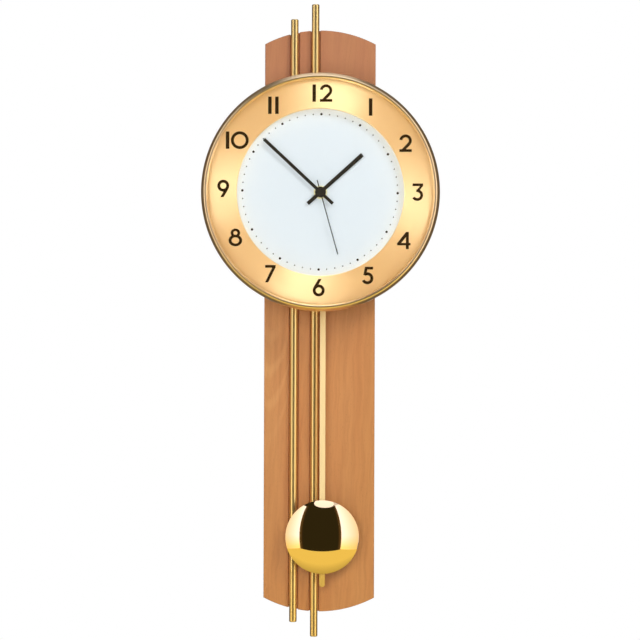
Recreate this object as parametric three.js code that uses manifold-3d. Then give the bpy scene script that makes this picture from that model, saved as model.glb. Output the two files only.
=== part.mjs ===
// Radio-controlled pendulum wall clock, in millimetres.
// It is drawn facing the reader: x to the right, y up, z out from the wall, with the nail it hangs on at
// the origin. The outermost group then stands it up, so that +Z is up and the wall is at y = 0.

import * as THREE from 'three';
import { mergeVertices } from 'three/addons/utils/BufferGeometryUtils.js';
import Module from 'manifold-3d';

const wasm = await Module();
wasm.setup();

// Facets
const LARGE_ROUND = 32;
const BOB_ROUND = 24;
const ROD_ROUND = 16;
const MIDDLE_ROUND = 12;
const SPACER_ROUND = 12;
const SMALL_ROUND = 8;
const ARC_STEPS = 3;
const BEAD_STEPS = 5;
const BOARD_ARC_STEPS = 5;
const CORNER_STEPS = 2;
const WELD = 1e-4;

// Clearances
const GAP = 0.3;
const RUNNING = 0.15;
// How far a cutter runs past the faces that it opens.
const OVERCUT = 1;

// Wooden board
const BOARD_WIDTH = 118;
const BOARD_LENGTH = 620;
const BOARD_THICKNESS = 16;
const BOARD_END_RADIUS = 125;
const BOARD_EDGE = 0.8;
const BOARD_ABOVE_NAIL = 60;

// Keyhole hanger, let into the back of the board
const HANGER_WIDTH = 44;
const HANGER_HEIGHT = 30;
const HANGER_THICKNESS = 1.5;
const HANGER_ABOVE_NAIL = 8;
const HANGER_CORNER = 3;
const NAIL_SLOT_RADIUS = 2.1;
const NAIL_HEAD_RADIUS = 4.6;
const NAIL_DROP = 13;
const NAIL_POCKET_DEPTH = 6.5;
const HANGER_SCREW_SPACING = 32;
const HANGER_SCREW_BELOW_MIDDLE = 2;
const HANGER_SCREW_LENGTH = 12;

// Wood and machine screws
const SCREW_SINK = 0.2;
const SMALL_HEAD_RADIUS = 3;
const SMALL_SHANK_RADIUS = 1.5;
const LONG_HEAD_RADIUS = 4;
const LONG_SHANK_RADIUS = 2;
const SCREW_END_SPACE = 0.8;

// Brass rods in front of the board
const ROD_RADIUS = 4;
const ROD_END_ROUNDING = 1.2;
const ROD_OFF_BOARD = 2;
const ROD_LEFT_X = -27.4;
const ROD_RIGHT_X = -5.2;
const ROD_LEFT_LENGTH = 641.5;
const ROD_RIGHT_LENGTH = 673;
const ROD_LEFT_RISE = 11;
const ROD_RIGHT_RISE = 27;
const POST_RADIUS = 2.5;
const POST_SINK = 8;
const POST_BORE_DEPTH = 6;
const POST_BELOW_TOP = 32;
const POST_ABOVE_BOTTOM = 55;

// Case, dial and glass
const DIAL_X = 0.5;
const DIAL_BELOW_TOP = 175;
const SPACER_LENGTH = 24;
const SPACER_RADIUS = 6;
const SPACER_X = 45;
const SPACER_Y = 78;
const SHEET = 1.2;
const PAN_RADIUS = 121.6;
const PAN_SHOULDER = 5.6;
const PAN_CORNER = 6;
const BOSS_RADIUS = 4;
const BOSS_HEIGHT = 6.3;
const BOSS_FLOOR = 0.8;
const WINDOW_RIM = 3;
const DIAL_THICKNESS = 2;
const DIAL_HOLE_RADIUS = 4.3;
const RECESS_DEPTH = 10;
const RING_SHEET = 0.8;
const RING_INNER_RADIUS = 87.8;
const RING_FOLD = 0.5;
const RING_BEAD_HEIGHT = 2;
const RING_BEAD_WIDTH = 1;
const GLASS_THICKNESS = 3;
const BEZEL_COVER = 2.1;
const BEZEL_OVERHANG = 1.6;
const BEZEL_BEAD_HEIGHT = 3.2;
const BEZEL_SKIRT_WALL = 1.5;
const BEZEL_SKIRT_DEPTH = 11;
const BEZEL_STEP = 1;

// Movement housing, measured from the axis of the hands
const HOUSING_LEFT = 34;
const HOUSING_RIGHT = 50;
const HOUSING_DOWN = 40;
const HOUSING_UP = 42;
const HOUSING_DEPTH = 20.5;
const HOUSING_WALL = 1.6;
const HOUSING_CORNER = 4;
const HOUSING_SPLIT = 11;
const PIVOT_HOLE_DEPTH = 1;
const PIVOT_SHAKE = 0.3;
const SUPPORT_POST_RADIUS = 1.4;
const BUSHING_RADIUS = 4;
const BUSHING_WALL = 1;
const WASHER_THICKNESS = 0.8;
const WASHER_RADIUS = 9;
const NUT_RADIUS = 7;
const NUT_THICKNESS = 1.8;

// Battery bay
const BATTERY_RADIUS = 7.25;
const BATTERY_LENGTH = 50.5;
const BATTERY_NUB_RADIUS = 2.75;
const BATTERY_NUB_LENGTH = 1.4;
const BATTERY_EDGE = 0.6;
const BATTERY_X = 38;
const BAY_SIDE_CLEARANCE = 0.75;
const BAY_END_CLEARANCE = 1.75;
const BAY_WALL = 1.2;
const CONTACT_WIDTH = 8;
const CONTACT_THICKNESS = 0.5;
const CONTACT_HEIGHT = 12;
const CONTACT_BOW = 0.7;

// Window in the board, behind the battery bay
const ACCESS_LEFT = 17;
const ACCESS_RIGHT = 50;
const ACCESS_HALF_HEIGHT = 34;
const ACCESS_CORNER = 4;

// Wheel trains
const PRESSURE_ANGLE = THREE.MathUtils.degToRad(24);
const ADDENDUM = 0.75;
const DEDENDUM = 1;
const BACKLASH = 0.14;
const TRAIN_MODULE = 0.53;
const ROTOR_TEETH = 6;
const REDUCTION_TEETH = 36;
const REDUCTION_PINION_TEETH = 8;
const CENTRE_TEETH = 40;
const MINUTE_PINION_TEETH = 8;
const MOTION_TEETH = 24;
const MOTION_PINION_TEETH = 8;
const HOUR_TEETH = 32;
const MOTION_MODULE = 0.75;
const WHEEL_THICKNESS = 1;
const MESH_OVERLAP = 0.4;
const ARBOR_RADIUS = 0.8;
const SECOND_ARBOR_RADIUS = 0.8;
const CANNON_WALL = 0.6;
const PIPE_WALL = 0.7;
const STUB_RADIUS = 1.1;
const REDUCTION_BEARING = THREE.MathUtils.degToRad(140);
const ROTOR_BEARING = THREE.MathUtils.degToRad(160);
const ROTOR_MAGNET_RADIUS = 3;
const ROTOR_MAGNET_LENGTH = 2.4;

// Levels inside the housing, as heights over the inside of its rear wall
const ROTOR_MAGNET_LEVEL = 1.8;
const SECOND_REDUCTION_LEVEL = 4.8;
const SECOND_WHEEL_LEVEL = 7;
const MINUTE_REDUCTION_LEVEL = 9.2;
const MINUTE_WHEEL_LEVEL = 11.2;
const MOTION_LEVEL = 13.5;
const HOUR_WHEEL_LEVEL = 15.4;

// Motor laminations and coils
const STATOR_WIDTH = 20;
const STATOR_LEFT = 31.6;
const STATOR_THICKNESS = 1.4;
const STATOR_LEVEL = 2.2;
const STATOR_BAR = 10.2;
const STATOR_ARM = 3;
const STATOR_SPAN = 19;
const CORE_WIDTH = 4.5;
const COIL_WIDTH = 8.6;
const COIL_HEIGHT = 5.2;
const COIL_CORNER = 2.2;

// Receiver
const BOARD_LEFT_X = 14;
const BOARD_RIGHT_X = 27.5;
const BOARD_LOW_Y = -27;
const BOARD_HIGH_Y = 37;
const BOARD_POST_INSET = 4;
const LAMINATE = 1.2;
const ANTENNA_RADIUS = 4;
const ANTENNA_LENGTH = 50;
const ANTENNA_X = -5;
const ANTENNA_Y = -32.5;
const ANTENNA_LEVEL = 6.7;
const ANTENNA_COIL_LENGTH = 17;
const ANTENNA_COIL_X = 3;
const ANTENNA_COIL_WALL = 1.1;
const CRADLE_THICKNESS = 2;
const CRADLE_WIDTH = 7;
const CRADLE_INSET = 6;

// Set button
const BUTTON_X = 22;
const BUTTON_Y = -18;
const BUTTON_RADIUS = 2.5;
const BUTTON_PROUD = 1.9;
const BUTTON_FLANGE = 1.1;
const BUTTON_FLANGE_THICKNESS = 0.6;
const BUTTON_TRAVEL = 1.2;
const SWITCH_SPACE = 0.7;

// Hands
const HOUR_ANGLE = THREE.MathUtils.degToRad(48);
const MINUTE_ANGLE = THREE.MathUtils.degToRad(313);
const SECOND_ANGLE = THREE.MathUtils.degToRad(164.3);
const HAND_SPACE = 0.9;
const HAND_THICKNESS = 0.7;
const HOUR_LENGTH = 58.9;
const HOUR_TAIL = 18;
const HOUR_ROOT_WIDTH = 3.6;
const HOUR_TIP_WIDTH = 4.2;
const HOUR_HUB_RADIUS = 4.6;
const MINUTE_LENGTH = 81.2;
const MINUTE_TAIL = 17.6;
const MINUTE_WIDTH = 3.1;
const MINUTE_HUB_RADIUS = 3.8;
const SECOND_LENGTH = 67.6;
const SECOND_TAIL = 13.2;
const SECOND_WIDTH = 0.8;
const SECOND_THICKNESS = 0.4;
const CAP_RADIUS = 5.66;
const CAP_HEIGHT = 1.8;
const CAP_ROUNDING = 0.8;

// Pendulum
const PENDULUM_X = 3.5;
const PIVOT_ABOVE_DIAL = 34;
const PIVOT_RADIUS = 1.5;
const PIVOT_LENGTH = 5.6;
const PIVOT_HEAD = 0.8;
const LEVER_THICKNESS = 1.6;
const LEVER_OFF_HOUSING = 2;
const LEVER_WIDTH = 6;
const LEVER_EYE_RADIUS = 4;
const LEVER_CORNER = 1;
const MAGNET_RADIUS = 4;
const MAGNET_THICKNESS = 1.4;
const MAGNET_RIM = 1;
const MAGNET_BELOW_PIVOT = 16;
const HOOK_BELOW_PIVOT = 30;
const HOOK_RADIUS = 1.3;
const HOOK_HEAD = 0.8;
const HOOK_HEAD_THICKNESS = 0.8;
const STRIP_WIDTH = 6;
const STRIP_THICKNESS = 1;
const STRIP_CORNER = 1;
const STRIP_OFF_LEVER = 2.6;
const STRIP_ABOVE_HOOK = 4.5;
const STRIP_BELOW_BOB = 53;
const KEYHOLE_DROP = 5.5;
const BOB_BELOW_DIAL = 364.1;
const BOB_RADIUS = 39;
const BOB_DOME = 12;
const BOB_RIM = 1.7;
const BOB_WALL = 0.8;
const BOB_PLATE = 1;
const CHANNEL_LENGTH = 34;
const CHANNEL_WALL = 0.7;
const CHANNEL_HOOK = 1.4;
const DRIVE_COIL_RADIUS = 6.5;
const DRIVE_COIL_BORE = 2;
const DRIVE_COIL_THICKNESS = 3.2;

// Places that follow from the sizes, as depths out from the wall
const boardTop = BOARD_ABOVE_NAIL;
const boardBottom = BOARD_ABOVE_NAIL - BOARD_LENGTH;
const rodDepth = BOARD_THICKNESS + ROD_OFF_BOARD + ROD_RADIUS;
const dialY = boardTop - DIAL_BELOW_TOP;
const panRear = BOARD_THICKNESS + SPACER_LENGTH;
const housingRear = panRear + SHEET;
const housingInside = housingRear + HOUSING_WALL;
const housingFront = housingRear + HOUSING_DEPTH;
const coverInside = housingFront - HOUSING_WALL;
const dialRear = housingFront + WASHER_THICKNESS;
const dialFront = dialRear + DIAL_THICKNESS;
const ringFront = dialFront + RECESS_DEPTH;
const glassRear = ringFront + RING_BEAD_HEIGHT;
const glassFront = glassRear + GLASS_THICKNESS;
const nutFront = dialFront + NUT_THICKNESS;
const hourHandRear = nutFront + HAND_SPACE;
const minuteHandRear = hourHandRear + HAND_THICKNESS + HAND_SPACE;
const secondHandRear = minuteHandRear + HAND_THICKNESS + HAND_SPACE;
const leverFront = housingRear - LEVER_OFF_HOUSING;
const leverRear = leverFront - LEVER_THICKNESS;
const stripFront = leverRear - STRIP_OFF_LEVER;
const stripRear = stripFront - STRIP_THICKNESS;
const bobRear = stripFront + GAP;

// Wheel centres, measured from the axis of the hands
const reductionDistance = TRAIN_MODULE * (CENTRE_TEETH + REDUCTION_PINION_TEETH) / 2;
const rotorDistance = TRAIN_MODULE * (REDUCTION_TEETH + ROTOR_TEETH) / 2;
const motionDistance = MOTION_MODULE * (MOTION_TEETH + MINUTE_PINION_TEETH) / 2;
const hourModule = 2 * motionDistance / (HOUR_TEETH + MOTION_PINION_TEETH);
const cannonBore = SECOND_ARBOR_RADIUS + GAP;
const cannonRadius = cannonBore + CANNON_WALL;
const pipeBore = cannonRadius + GAP;
const pipeRadius = pipeBore + PIPE_WALL;

const finishes = {
  beech: finish(0xc98e56, 0.45, 0),
  brass: finish(0xe0b867, 0.15, 1),
  gold: finish(0xf6cf8b, 0.3, 1),
  polished: finish(0xf0c46a, 0.03, 1),
  steel: finish(0xb8bcc0, 0.35, 1),
  white: finish(0xe8f0f7, 0.6, 0),
  black: finish(0x222e30, 0.4, 0),
  glass: finish(0xf4f8fa, 0.02, 0),
  darkPlastic: finish(0x26282b, 0.55, 0),
  wheelPlastic: finish(0xe9e6da, 0.5, 0),
  copper: finish(0xb5693a, 0.35, 1),
  ferrite: finish(0x3a3a3c, 0.7, 0),
  laminate: finish(0x2f6b43, 0.5, 0),
  battery: finish(0x8d9299, 0.35, 0),
  rubber: finish(0x1d1d1f, 0.9, 0),
  red: finish(0xb43a32, 0.45, 0),
};

function finish(color, roughness, metalness) {
  return new THREE.MeshStandardMaterial({ color, roughness, metalness });
}

// Solids

// A closed geometry as a solid that can be joined and cut.
function solid(geometry) {
  const bare = geometry.index ? geometry.toNonIndexed() : geometry.clone();
  bare.deleteAttribute('normal');
  bare.deleteAttribute('uv');
  const merged = mergeVertices(bare, WELD);
  return new wasm.Manifold(new wasm.Mesh({
    numProp: 3,
    vertProperties: merged.attributes.position.array,
    triVerts: new Uint32Array(merged.index.array),
  }));
}

function geometryOf(made) {
  const { vertProperties, triVerts } = made.getMesh();
  const geometry = new THREE.BufferGeometry();
  geometry.setAttribute('position', new THREE.BufferAttribute(vertProperties, 3));
  geometry.setIndex(new THREE.BufferAttribute(triVerts, 1));
  geometry.computeVertexNormals();
  return geometry;
}

function join(...geometries) {
  return geometryOf(geometries.map(solid).reduce((whole, next) => whole.add(next)));
}

function cut(geometry, ...tools) {
  return geometryOf(tools.map(solid).reduce((whole, tool) => whole.subtract(tool), solid(geometry)));
}

// Flat outlines

function circle(radius, x = 0, y = 0) {
  return new THREE.Shape().absarc(x, y, radius, 0, 2 * Math.PI, false);
}

function rectangle(left, right, low, high, corner = 0) {
  const shape = new THREE.Shape();
  if (corner === 0) {
    shape.moveTo(left, low);
    shape.lineTo(right, low);
    shape.lineTo(right, high);
    shape.lineTo(left, high);
    return shape;
  }
  shape.absarc(right - corner, low + corner, corner, -Math.PI / 2, 0, false);
  shape.absarc(right - corner, high - corner, corner, 0, Math.PI / 2, false);
  shape.absarc(left + corner, high - corner, corner, Math.PI / 2, Math.PI, false);
  shape.absarc(left + corner, low + corner, corner, Math.PI, 1.5 * Math.PI, false);
  return shape;
}

// A long outline with round ends, upright about x = 0.
function stadium(halfWidth, low, high) {
  const shape = new THREE.Shape();
  shape.absarc(0, high, halfWidth, 0, Math.PI, false);
  shape.absarc(0, low, halfWidth, Math.PI, 2 * Math.PI, false);
  return shape;
}

// A slab between two depths.
function slab(shape, rear, front, curveSegments = SMALL_ROUND) {
  const settings = { depth: front - rear, bevelEnabled: false, curveSegments };
  return new THREE.ExtrudeGeometry(shape, settings).translate(0, 0, rear);
}

function post(radius, rear, front, x = 0, y = 0, segments = SMALL_ROUND) {
  return turned([[0, rear], [radius, rear], [radius, front], [0, front]], segments).translate(x, y, 0);
}

// A piece turned about the line that points out of the wall, from [radius, depth] points.
function turned(profile, segments = LARGE_ROUND) {
  const points = profile.map(([radius, depth]) => new THREE.Vector2(radius, depth));
  if (THREE.ShapeUtils.area(points) < 0) points.reverse();
  return new THREE.LatheGeometry(points, segments).rotateX(Math.PI / 2);
}

// Points of an arc in a turned profile.
function bend(radius, centreRadius, centreDepth, fromDegrees, toDegrees, steps = ARC_STEPS) {
  return Array.from({ length: steps + 1 }, (_, i) => {
    const angle = THREE.MathUtils.degToRad(fromDegrees + (toDegrees - fromDegrees) * i / steps);
    return [centreRadius + radius * Math.cos(angle), centreDepth + radius * Math.sin(angle)];
  });
}

// Screws

// A countersunk screw driven from the wall side, and the hole that clears it when gap is given.
function countersunk(headRadius, shankRadius, length, gap = 0) {
  const rear = gap ? -OVERCUT : SCREW_SINK;
  const coneEnd = SCREW_SINK + headRadius - shankRadius;
  const profile = [
    [0, rear],
    [headRadius + gap, rear],
    [headRadius + gap, SCREW_SINK + gap / 2],
    [shankRadius + gap, coneEnd + gap / 2],
    [shankRadius + gap, SCREW_SINK + length + gap],
    [0, SCREW_SINK + length + gap],
  ];
  return turned(profile, SMALL_ROUND);
}

const postPlaces = [
  ['left_top', ROD_LEFT_X, boardTop - POST_BELOW_TOP],
  ['left_bottom', ROD_LEFT_X, boardBottom + POST_ABOVE_BOTTOM],
  ['right_top', ROD_RIGHT_X, boardTop - POST_BELOW_TOP],
  ['right_bottom', ROD_RIGHT_X, boardBottom + POST_ABOVE_BOTTOM],
];
const spacerPlaces = [
  ['upper_left', -1, 1],
  ['upper_right', 1, 1],
  ['lower_left', -1, -1],
  ['lower_right', 1, -1],
].map(([name, sideX, sideY]) => [name, DIAL_X + sideX * SPACER_X, dialY + sideY * SPACER_Y]);
const postBoreEnd = BOARD_THICKNESS - POST_SINK + POST_BORE_DEPTH;
const bossBoreEnd = housingRear + BOSS_HEIGHT - BOSS_FLOOR;
const postScrewLength = postBoreEnd - SCREW_END_SPACE - SCREW_SINK;
const spacerScrewLength = bossBoreEnd - SCREW_END_SPACE - SCREW_SINK;
const hangerScrewY = HANGER_ABOVE_NAIL - HANGER_HEIGHT / 2 - HANGER_SCREW_BELOW_MIDDLE;

// Board and hanger

function boardOutline() {
  const half = BOARD_WIDTH / 2;
  const sweep = Math.asin(half / BOARD_END_RADIUS);
  const shape = new THREE.Shape();
  const quarter = Math.PI / 2;
  const highCentre = boardTop - BOARD_END_RADIUS;
  const lowCentre = boardBottom + BOARD_END_RADIUS;
  shape.absarc(0, highCentre, BOARD_END_RADIUS, quarter - sweep, quarter + sweep, false);
  shape.absarc(0, lowCentre, BOARD_END_RADIUS, -quarter - sweep, -quarter + sweep, false);
  return shape;
}

function backBoard() {
  const plank = new THREE.ExtrudeGeometry(boardOutline(), {
    depth: BOARD_THICKNESS - 2 * BOARD_EDGE,
    bevelThickness: BOARD_EDGE,
    bevelSize: BOARD_EDGE,
    bevelOffset: -BOARD_EDGE,
    bevelSegments: 1,
    curveSegments: BOARD_ARC_STEPS,
  }).translate(0, 0, BOARD_EDGE);
  const left = DIAL_X + ACCESS_LEFT;
  const right = DIAL_X + ACCESS_RIGHT;
  const low = dialY - ACCESS_HALF_HEIGHT;
  const high = dialY + ACCESS_HALF_HEIGHT;
  const window = rectangle(left, right, low, high, ACCESS_CORNER);
  const nailPocket = stadium(NAIL_HEAD_RADIUS + GAP, -NAIL_DROP, 0);
  const tools = [
    slab(window, -OVERCUT, BOARD_THICKNESS + OVERCUT, ARC_STEPS),
    slab(hangerOutline(GAP), -OVERCUT, HANGER_THICKNESS, ARC_STEPS),
    slab(nailPocket, HANGER_THICKNESS - OVERCUT, HANGER_THICKNESS + NAIL_POCKET_DEPTH),
  ];
  for (const x of [-HANGER_SCREW_SPACING / 2, HANGER_SCREW_SPACING / 2])
    tools.push(post(SMALL_SHANK_RADIUS + GAP, 0, HANGER_SCREW_LENGTH + SCREW_END_SPACE, x, hangerScrewY));
  for (const [, x, y] of postPlaces) {
    tools.push(countersunk(SMALL_HEAD_RADIUS, SMALL_SHANK_RADIUS, BOARD_THICKNESS, GAP).translate(x, y, 0));
    tools.push(post(POST_RADIUS + GAP, BOARD_THICKNESS - POST_SINK, BOARD_THICKNESS + OVERCUT, x, y));
  }
  for (const [, x, y] of spacerPlaces)
    tools.push(countersunk(LONG_HEAD_RADIUS, LONG_SHANK_RADIUS, BOARD_THICKNESS + OVERCUT, GAP)
      .translate(x, y, 0));
  return cut(plank, ...tools);
}

function hangerOutline(grow = 0) {
  const half = HANGER_WIDTH / 2 + grow;
  const low = HANGER_ABOVE_NAIL - HANGER_HEIGHT - grow;
  return rectangle(-half, half, low, HANGER_ABOVE_NAIL + grow, HANGER_CORNER);
}

function hangerPlate() {
  const slot = slab(
    stadium(NAIL_SLOT_RADIUS, -NAIL_DROP, -NAIL_SLOT_RADIUS), -OVERCUT, HANGER_THICKNESS + OVERCUT);
  const head = post(NAIL_HEAD_RADIUS, -OVERCUT, HANGER_THICKNESS + OVERCUT, 0, -NAIL_DROP);
  const screws = [-1, 1].map((side) =>
    countersunk(SMALL_HEAD_RADIUS, SMALL_SHANK_RADIUS, HANGER_SCREW_LENGTH, GAP)
      .translate(side * HANGER_SCREW_SPACING / 2, hangerScrewY, 0));
  return cut(slab(hangerOutline(), 0, HANGER_THICKNESS, ARC_STEPS), slot, head, ...screws);
}

// Rods and their posts

// A round rod with softly rounded ends, upright.
function rod(length) {
  const flat = ROD_RADIUS - ROD_END_ROUNDING;
  const profile = [
    [0, 0],
    ...bend(ROD_END_ROUNDING, flat, ROD_END_ROUNDING, -90, 0, CORNER_STEPS),
    ...bend(ROD_END_ROUNDING, flat, length - ROD_END_ROUNDING, 0, 90, CORNER_STEPS),
    [0, length],
  ];
  return turned(profile, ROD_ROUND).rotateX(-Math.PI / 2);
}

function rodPost() {
  const seat = ROD_RADIUS + GAP;
  const rodClearance = new THREE.CylinderGeometry(seat, seat, 4 * POST_RADIUS, ROD_ROUND);
  rodClearance.translate(0, 0, rodDepth);
  const rear = BOARD_THICKNESS - POST_SINK + GAP;
  const bore = post(SMALL_SHANK_RADIUS + GAP, rear - OVERCUT, postBoreEnd);
  return cut(post(POST_RADIUS, rear, rodDepth - ROD_RADIUS / 2), rodClearance, bore);
}

// Case

function spacer() {
  const inner = LONG_SHANK_RADIUS + GAP;
  return turned([
    [inner, BOARD_THICKNESS],
    [SPACER_RADIUS, BOARD_THICKNESS],
    [SPACER_RADIUS, panRear],
    [inner, panRear],
    [inner, BOARD_THICKNESS],
  ], SPACER_ROUND);
}

// The pan is a pressed cup whose wall steps out once, so that the dial rests on the shoulder.
function casePan() {
  const rearRadius = PAN_RADIUS - PAN_SHOULDER;
  const corner = rearRadius - PAN_CORNER;
  const rim = ringFront - RING_SHEET;
  const cup = turned([
    [0, panRear],
    ...bend(PAN_CORNER, corner, panRear + PAN_CORNER, -90, 0, CORNER_STEPS),
    [rearRadius, dialRear - SHEET],
    [PAN_RADIUS, dialRear - SHEET],
    [PAN_RADIUS, rim],
    [PAN_RADIUS - SHEET, rim],
    [PAN_RADIUS - SHEET, dialRear],
    [rearRadius - SHEET, dialRear],
    ...bend(PAN_CORNER - SHEET, corner, panRear + PAN_CORNER, 0, -90, CORNER_STEPS),
    [0, panRear + SHEET],
  ]);
  const window = rectangle(
    WINDOW_RIM - HOUSING_LEFT, HOUSING_RIGHT - WINDOW_RIM,
    WINDOW_RIM - HOUSING_DOWN, HOUSING_UP - WINDOW_RIM, HOUSING_CORNER);
  const places = spacerPlaces.map(([, x, y]) => [x - DIAL_X, y - dialY]);
  const bosses = places.map(([x, y]) =>
    post(BOSS_RADIUS, panRear + SHEET / 2, housingRear + BOSS_HEIGHT, x, y));
  const holes = places.map(([x, y]) =>
    post(LONG_SHANK_RADIUS + GAP, panRear - OVERCUT, bossBoreEnd, x, y));
  const opening = slab(window, panRear - OVERCUT, housingRear + OVERCUT, ARC_STEPS);
  return cut(join(cup, ...bosses), opening, ...holes);
}

function bezelRing() {
  const skirtInner = PAN_RADIUS + GAP;
  const skirtOuter = skirtInner + BEZEL_SKIRT_WALL;
  const glassSeat = glassRadius() + GAP;
  const lip = glassFront + GAP;
  const outer = skirtOuter + BEZEL_OVERHANG;
  const opening = glassRadius() - BEZEL_COVER;
  const crest = (opening + outer) / 2;
  const halfBead = outer - crest;
  const bead = Array.from({ length: BEAD_STEPS + 1 }, (_, i) => {
    const angle = Math.PI * i / BEAD_STEPS;
    return [crest - halfBead * Math.cos(angle), lip + BEZEL_BEAD_HEIGHT * Math.sin(angle)];
  });
  return turned([
    ...bead,
    [outer, glassRear + BEZEL_STEP],
    [skirtOuter, glassRear - BEZEL_STEP],
    [skirtOuter, glassRear - BEZEL_SKIRT_DEPTH],
    [skirtInner, glassRear - BEZEL_SKIRT_DEPTH],
    [skirtInner, glassRear],
    [glassSeat, glassRear],
    [glassSeat, lip],
    [opening, lip],
  ]);
}

function glassRadius() {
  return PAN_RADIUS - SHEET;
}

function glassDisc() {
  return turned([[0, glassRear], [glassRadius(), glassRear], [glassRadius(), glassFront], [0, glassFront]]);
}

// The hour ring is pressed from sheet: a collar down to the dial, a flat face and a bead under the glass.
function chapterRing() {
  const outer = PAN_RADIUS - GAP;
  const bead = glassRadius() - GAP;
  const collar = RING_INNER_RADIUS + RING_SHEET;
  const rear = ringFront - RING_SHEET;
  return turned([
    [RING_INNER_RADIUS, dialFront],
    [RING_INNER_RADIUS, ringFront - RING_FOLD],
    [RING_INNER_RADIUS + RING_FOLD, ringFront],
    [bead - RING_BEAD_WIDTH, ringFront],
    [bead - RING_BEAD_WIDTH, glassRear],
    [bead, glassRear],
    [bead, ringFront],
    [outer, ringFront],
    [outer, rear],
    [collar, rear],
    [collar, dialFront],
    [RING_INNER_RADIUS, dialFront],
  ]);
}

function dialDisc() {
  const outer = PAN_RADIUS - SHEET - GAP;
  return turned([
    [DIAL_HOLE_RADIUS, dialRear],
    [outer, dialRear],
    [outer, dialFront],
    [DIAL_HOLE_RADIUS, dialFront],
    [DIAL_HOLE_RADIUS, dialRear],
  ]);
}

function flatRing(inner, outer, rear, front) {
  return turned([[inner, rear], [outer, rear], [outer, front], [inner, front], [inner, rear]], MIDDLE_ROUND);
}

function dialWasher() {
  return flatRing(DIAL_HOLE_RADIUS, WASHER_RADIUS, housingFront, dialRear);
}

function centreNut() {
  return flatRing(BUSHING_RADIUS + RUNNING, NUT_RADIUS, dialFront, nutFront);
}

// Hands, drawn pointing to twelve

function handOutline(rootWidth, tipWidth, length, tail) {
  const shape = new THREE.Shape();
  shape.moveTo(-rootWidth / 2, -tail);
  shape.lineTo(rootWidth / 2, -tail);
  shape.lineTo(tipWidth / 2, length);
  shape.lineTo(-tipWidth / 2, length);
  return shape;
}

function pressedHand(outline, hubRadius, boreRadius, rear) {
  const front = rear + HAND_THICKNESS;
  const blade = join(slab(outline, rear, front), post(hubRadius, rear, front, 0, 0, MIDDLE_ROUND));
  return cut(blade, post(boreRadius + RUNNING, rear - OVERCUT, front + OVERCUT, 0, 0, MIDDLE_ROUND));
}

function secondHand() {
  const front = secondHandRear + CAP_HEIGHT;
  const boreFront = secondHandRear + CAP_HEIGHT / 2;
  const cap = turned([
    [0, front],
    ...bend(CAP_ROUNDING, CAP_RADIUS - CAP_ROUNDING, front - CAP_ROUNDING, 90, 0),
    [CAP_RADIUS, secondHandRear],
    [0, secondHandRear],
  ], MIDDLE_ROUND);
  const needle = handOutline(SECOND_WIDTH, SECOND_WIDTH, SECOND_LENGTH, SECOND_TAIL);
  const blade = slab(needle, secondHandRear, secondHandRear + SECOND_THICKNESS);
  const bore = post(SECOND_ARBOR_RADIUS + RUNNING, secondHandRear - OVERCUT, boreFront);
  return cut(join(cap, blade), bore);
}

// Gears

// Outline of a gear with involute flanks, thinned for backlash, with one tooth centred at toothAngle.
function gearOutline(teeth, module, toothAngle, flankPoints) {
  const pitch = teeth * module / 2;
  const base = pitch * Math.cos(PRESSURE_ANGLE);
  const root = pitch - DEDENDUM * module;
  const tip = pitch + ADDENDUM * module;
  const halfTooth = Math.PI / (2 * teeth) - BACKLASH / (2 * pitch);
  const involute = (radius) => {
    const angle = Math.acos(Math.min(1, base / radius));
    return Math.tan(angle) - angle;
  };
  const halfAt = (radius) => halfTooth + involute(pitch) - involute(Math.max(radius, base));
  const points = [];
  for (let tooth = 0; tooth < teeth; tooth++) {
    const centre = toothAngle + 2 * Math.PI * tooth / teeth;
    for (const side of [-1, 1])
      for (let step = 0; step < flankPoints; step++) {
        const along = step / (flankPoints - 1);
        const radius = side < 0 ? root + (tip - root) * along : tip + (root - tip) * along;
        const angle = centre + side * halfAt(radius);
        points.push(new THREE.Vector2(radius * Math.cos(angle), radius * Math.sin(angle)));
      }
  }
  return new THREE.Shape(points);
}

function wheel(teeth, module, toothAngle, rear) {
  return slab(gearOutline(teeth, module, toothAngle, 2), rear, rear + WHEEL_THICKNESS);
}

function pinion(teeth, module, toothAngle, rear, front) {
  return slab(gearOutline(teeth, module, toothAngle, 3), rear, front);
}

// The direction of a gap that receives a tooth pointing along angle, seen from the other wheel.
function gapFacing(angle, teeth) {
  return angle + Math.PI + Math.PI / teeth;
}

const arborRear = housingInside - PIVOT_HOLE_DEPTH + PIVOT_SHAKE;
const arborFront = coverInside + PIVOT_HOLE_DEPTH - PIVOT_SHAKE;

// A train runs from the rotor through a reduction wheel to the wheel on the axis of the hands.
// side is 1 above the axis and -1 below it.
function trainPlaces(side) {
  const toReduction = side * REDUCTION_BEARING;
  const toRotor = side * ROTOR_BEARING;
  const reduction = new THREE.Vector2(Math.cos(toReduction), Math.sin(toReduction))
    .multiplyScalar(reductionDistance);
  const rotor = new THREE.Vector2(Math.cos(toRotor), Math.sin(toRotor))
    .multiplyScalar(rotorDistance).add(reduction);
  return { toReduction, toRotor, reduction, rotor };
}

function rotorPiece(side, reductionLevel) {
  const { toRotor } = trainPlaces(side);
  const magnetRear = housingInside + ROTOR_MAGNET_LEVEL;
  const meshRear = housingInside + reductionLevel - MESH_OVERLAP;
  const meshFront = meshRear + WHEEL_THICKNESS + 2 * MESH_OVERLAP;
  return join(
    post(ROTOR_MAGNET_RADIUS, magnetRear, magnetRear + ROTOR_MAGNET_LENGTH, 0, 0, MIDDLE_ROUND),
    post(ARBOR_RADIUS, arborRear, arborFront),
    pinion(ROTOR_TEETH, TRAIN_MODULE, gapFacing(toRotor, ROTOR_TEETH), meshRear, meshFront),
  );
}

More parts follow.
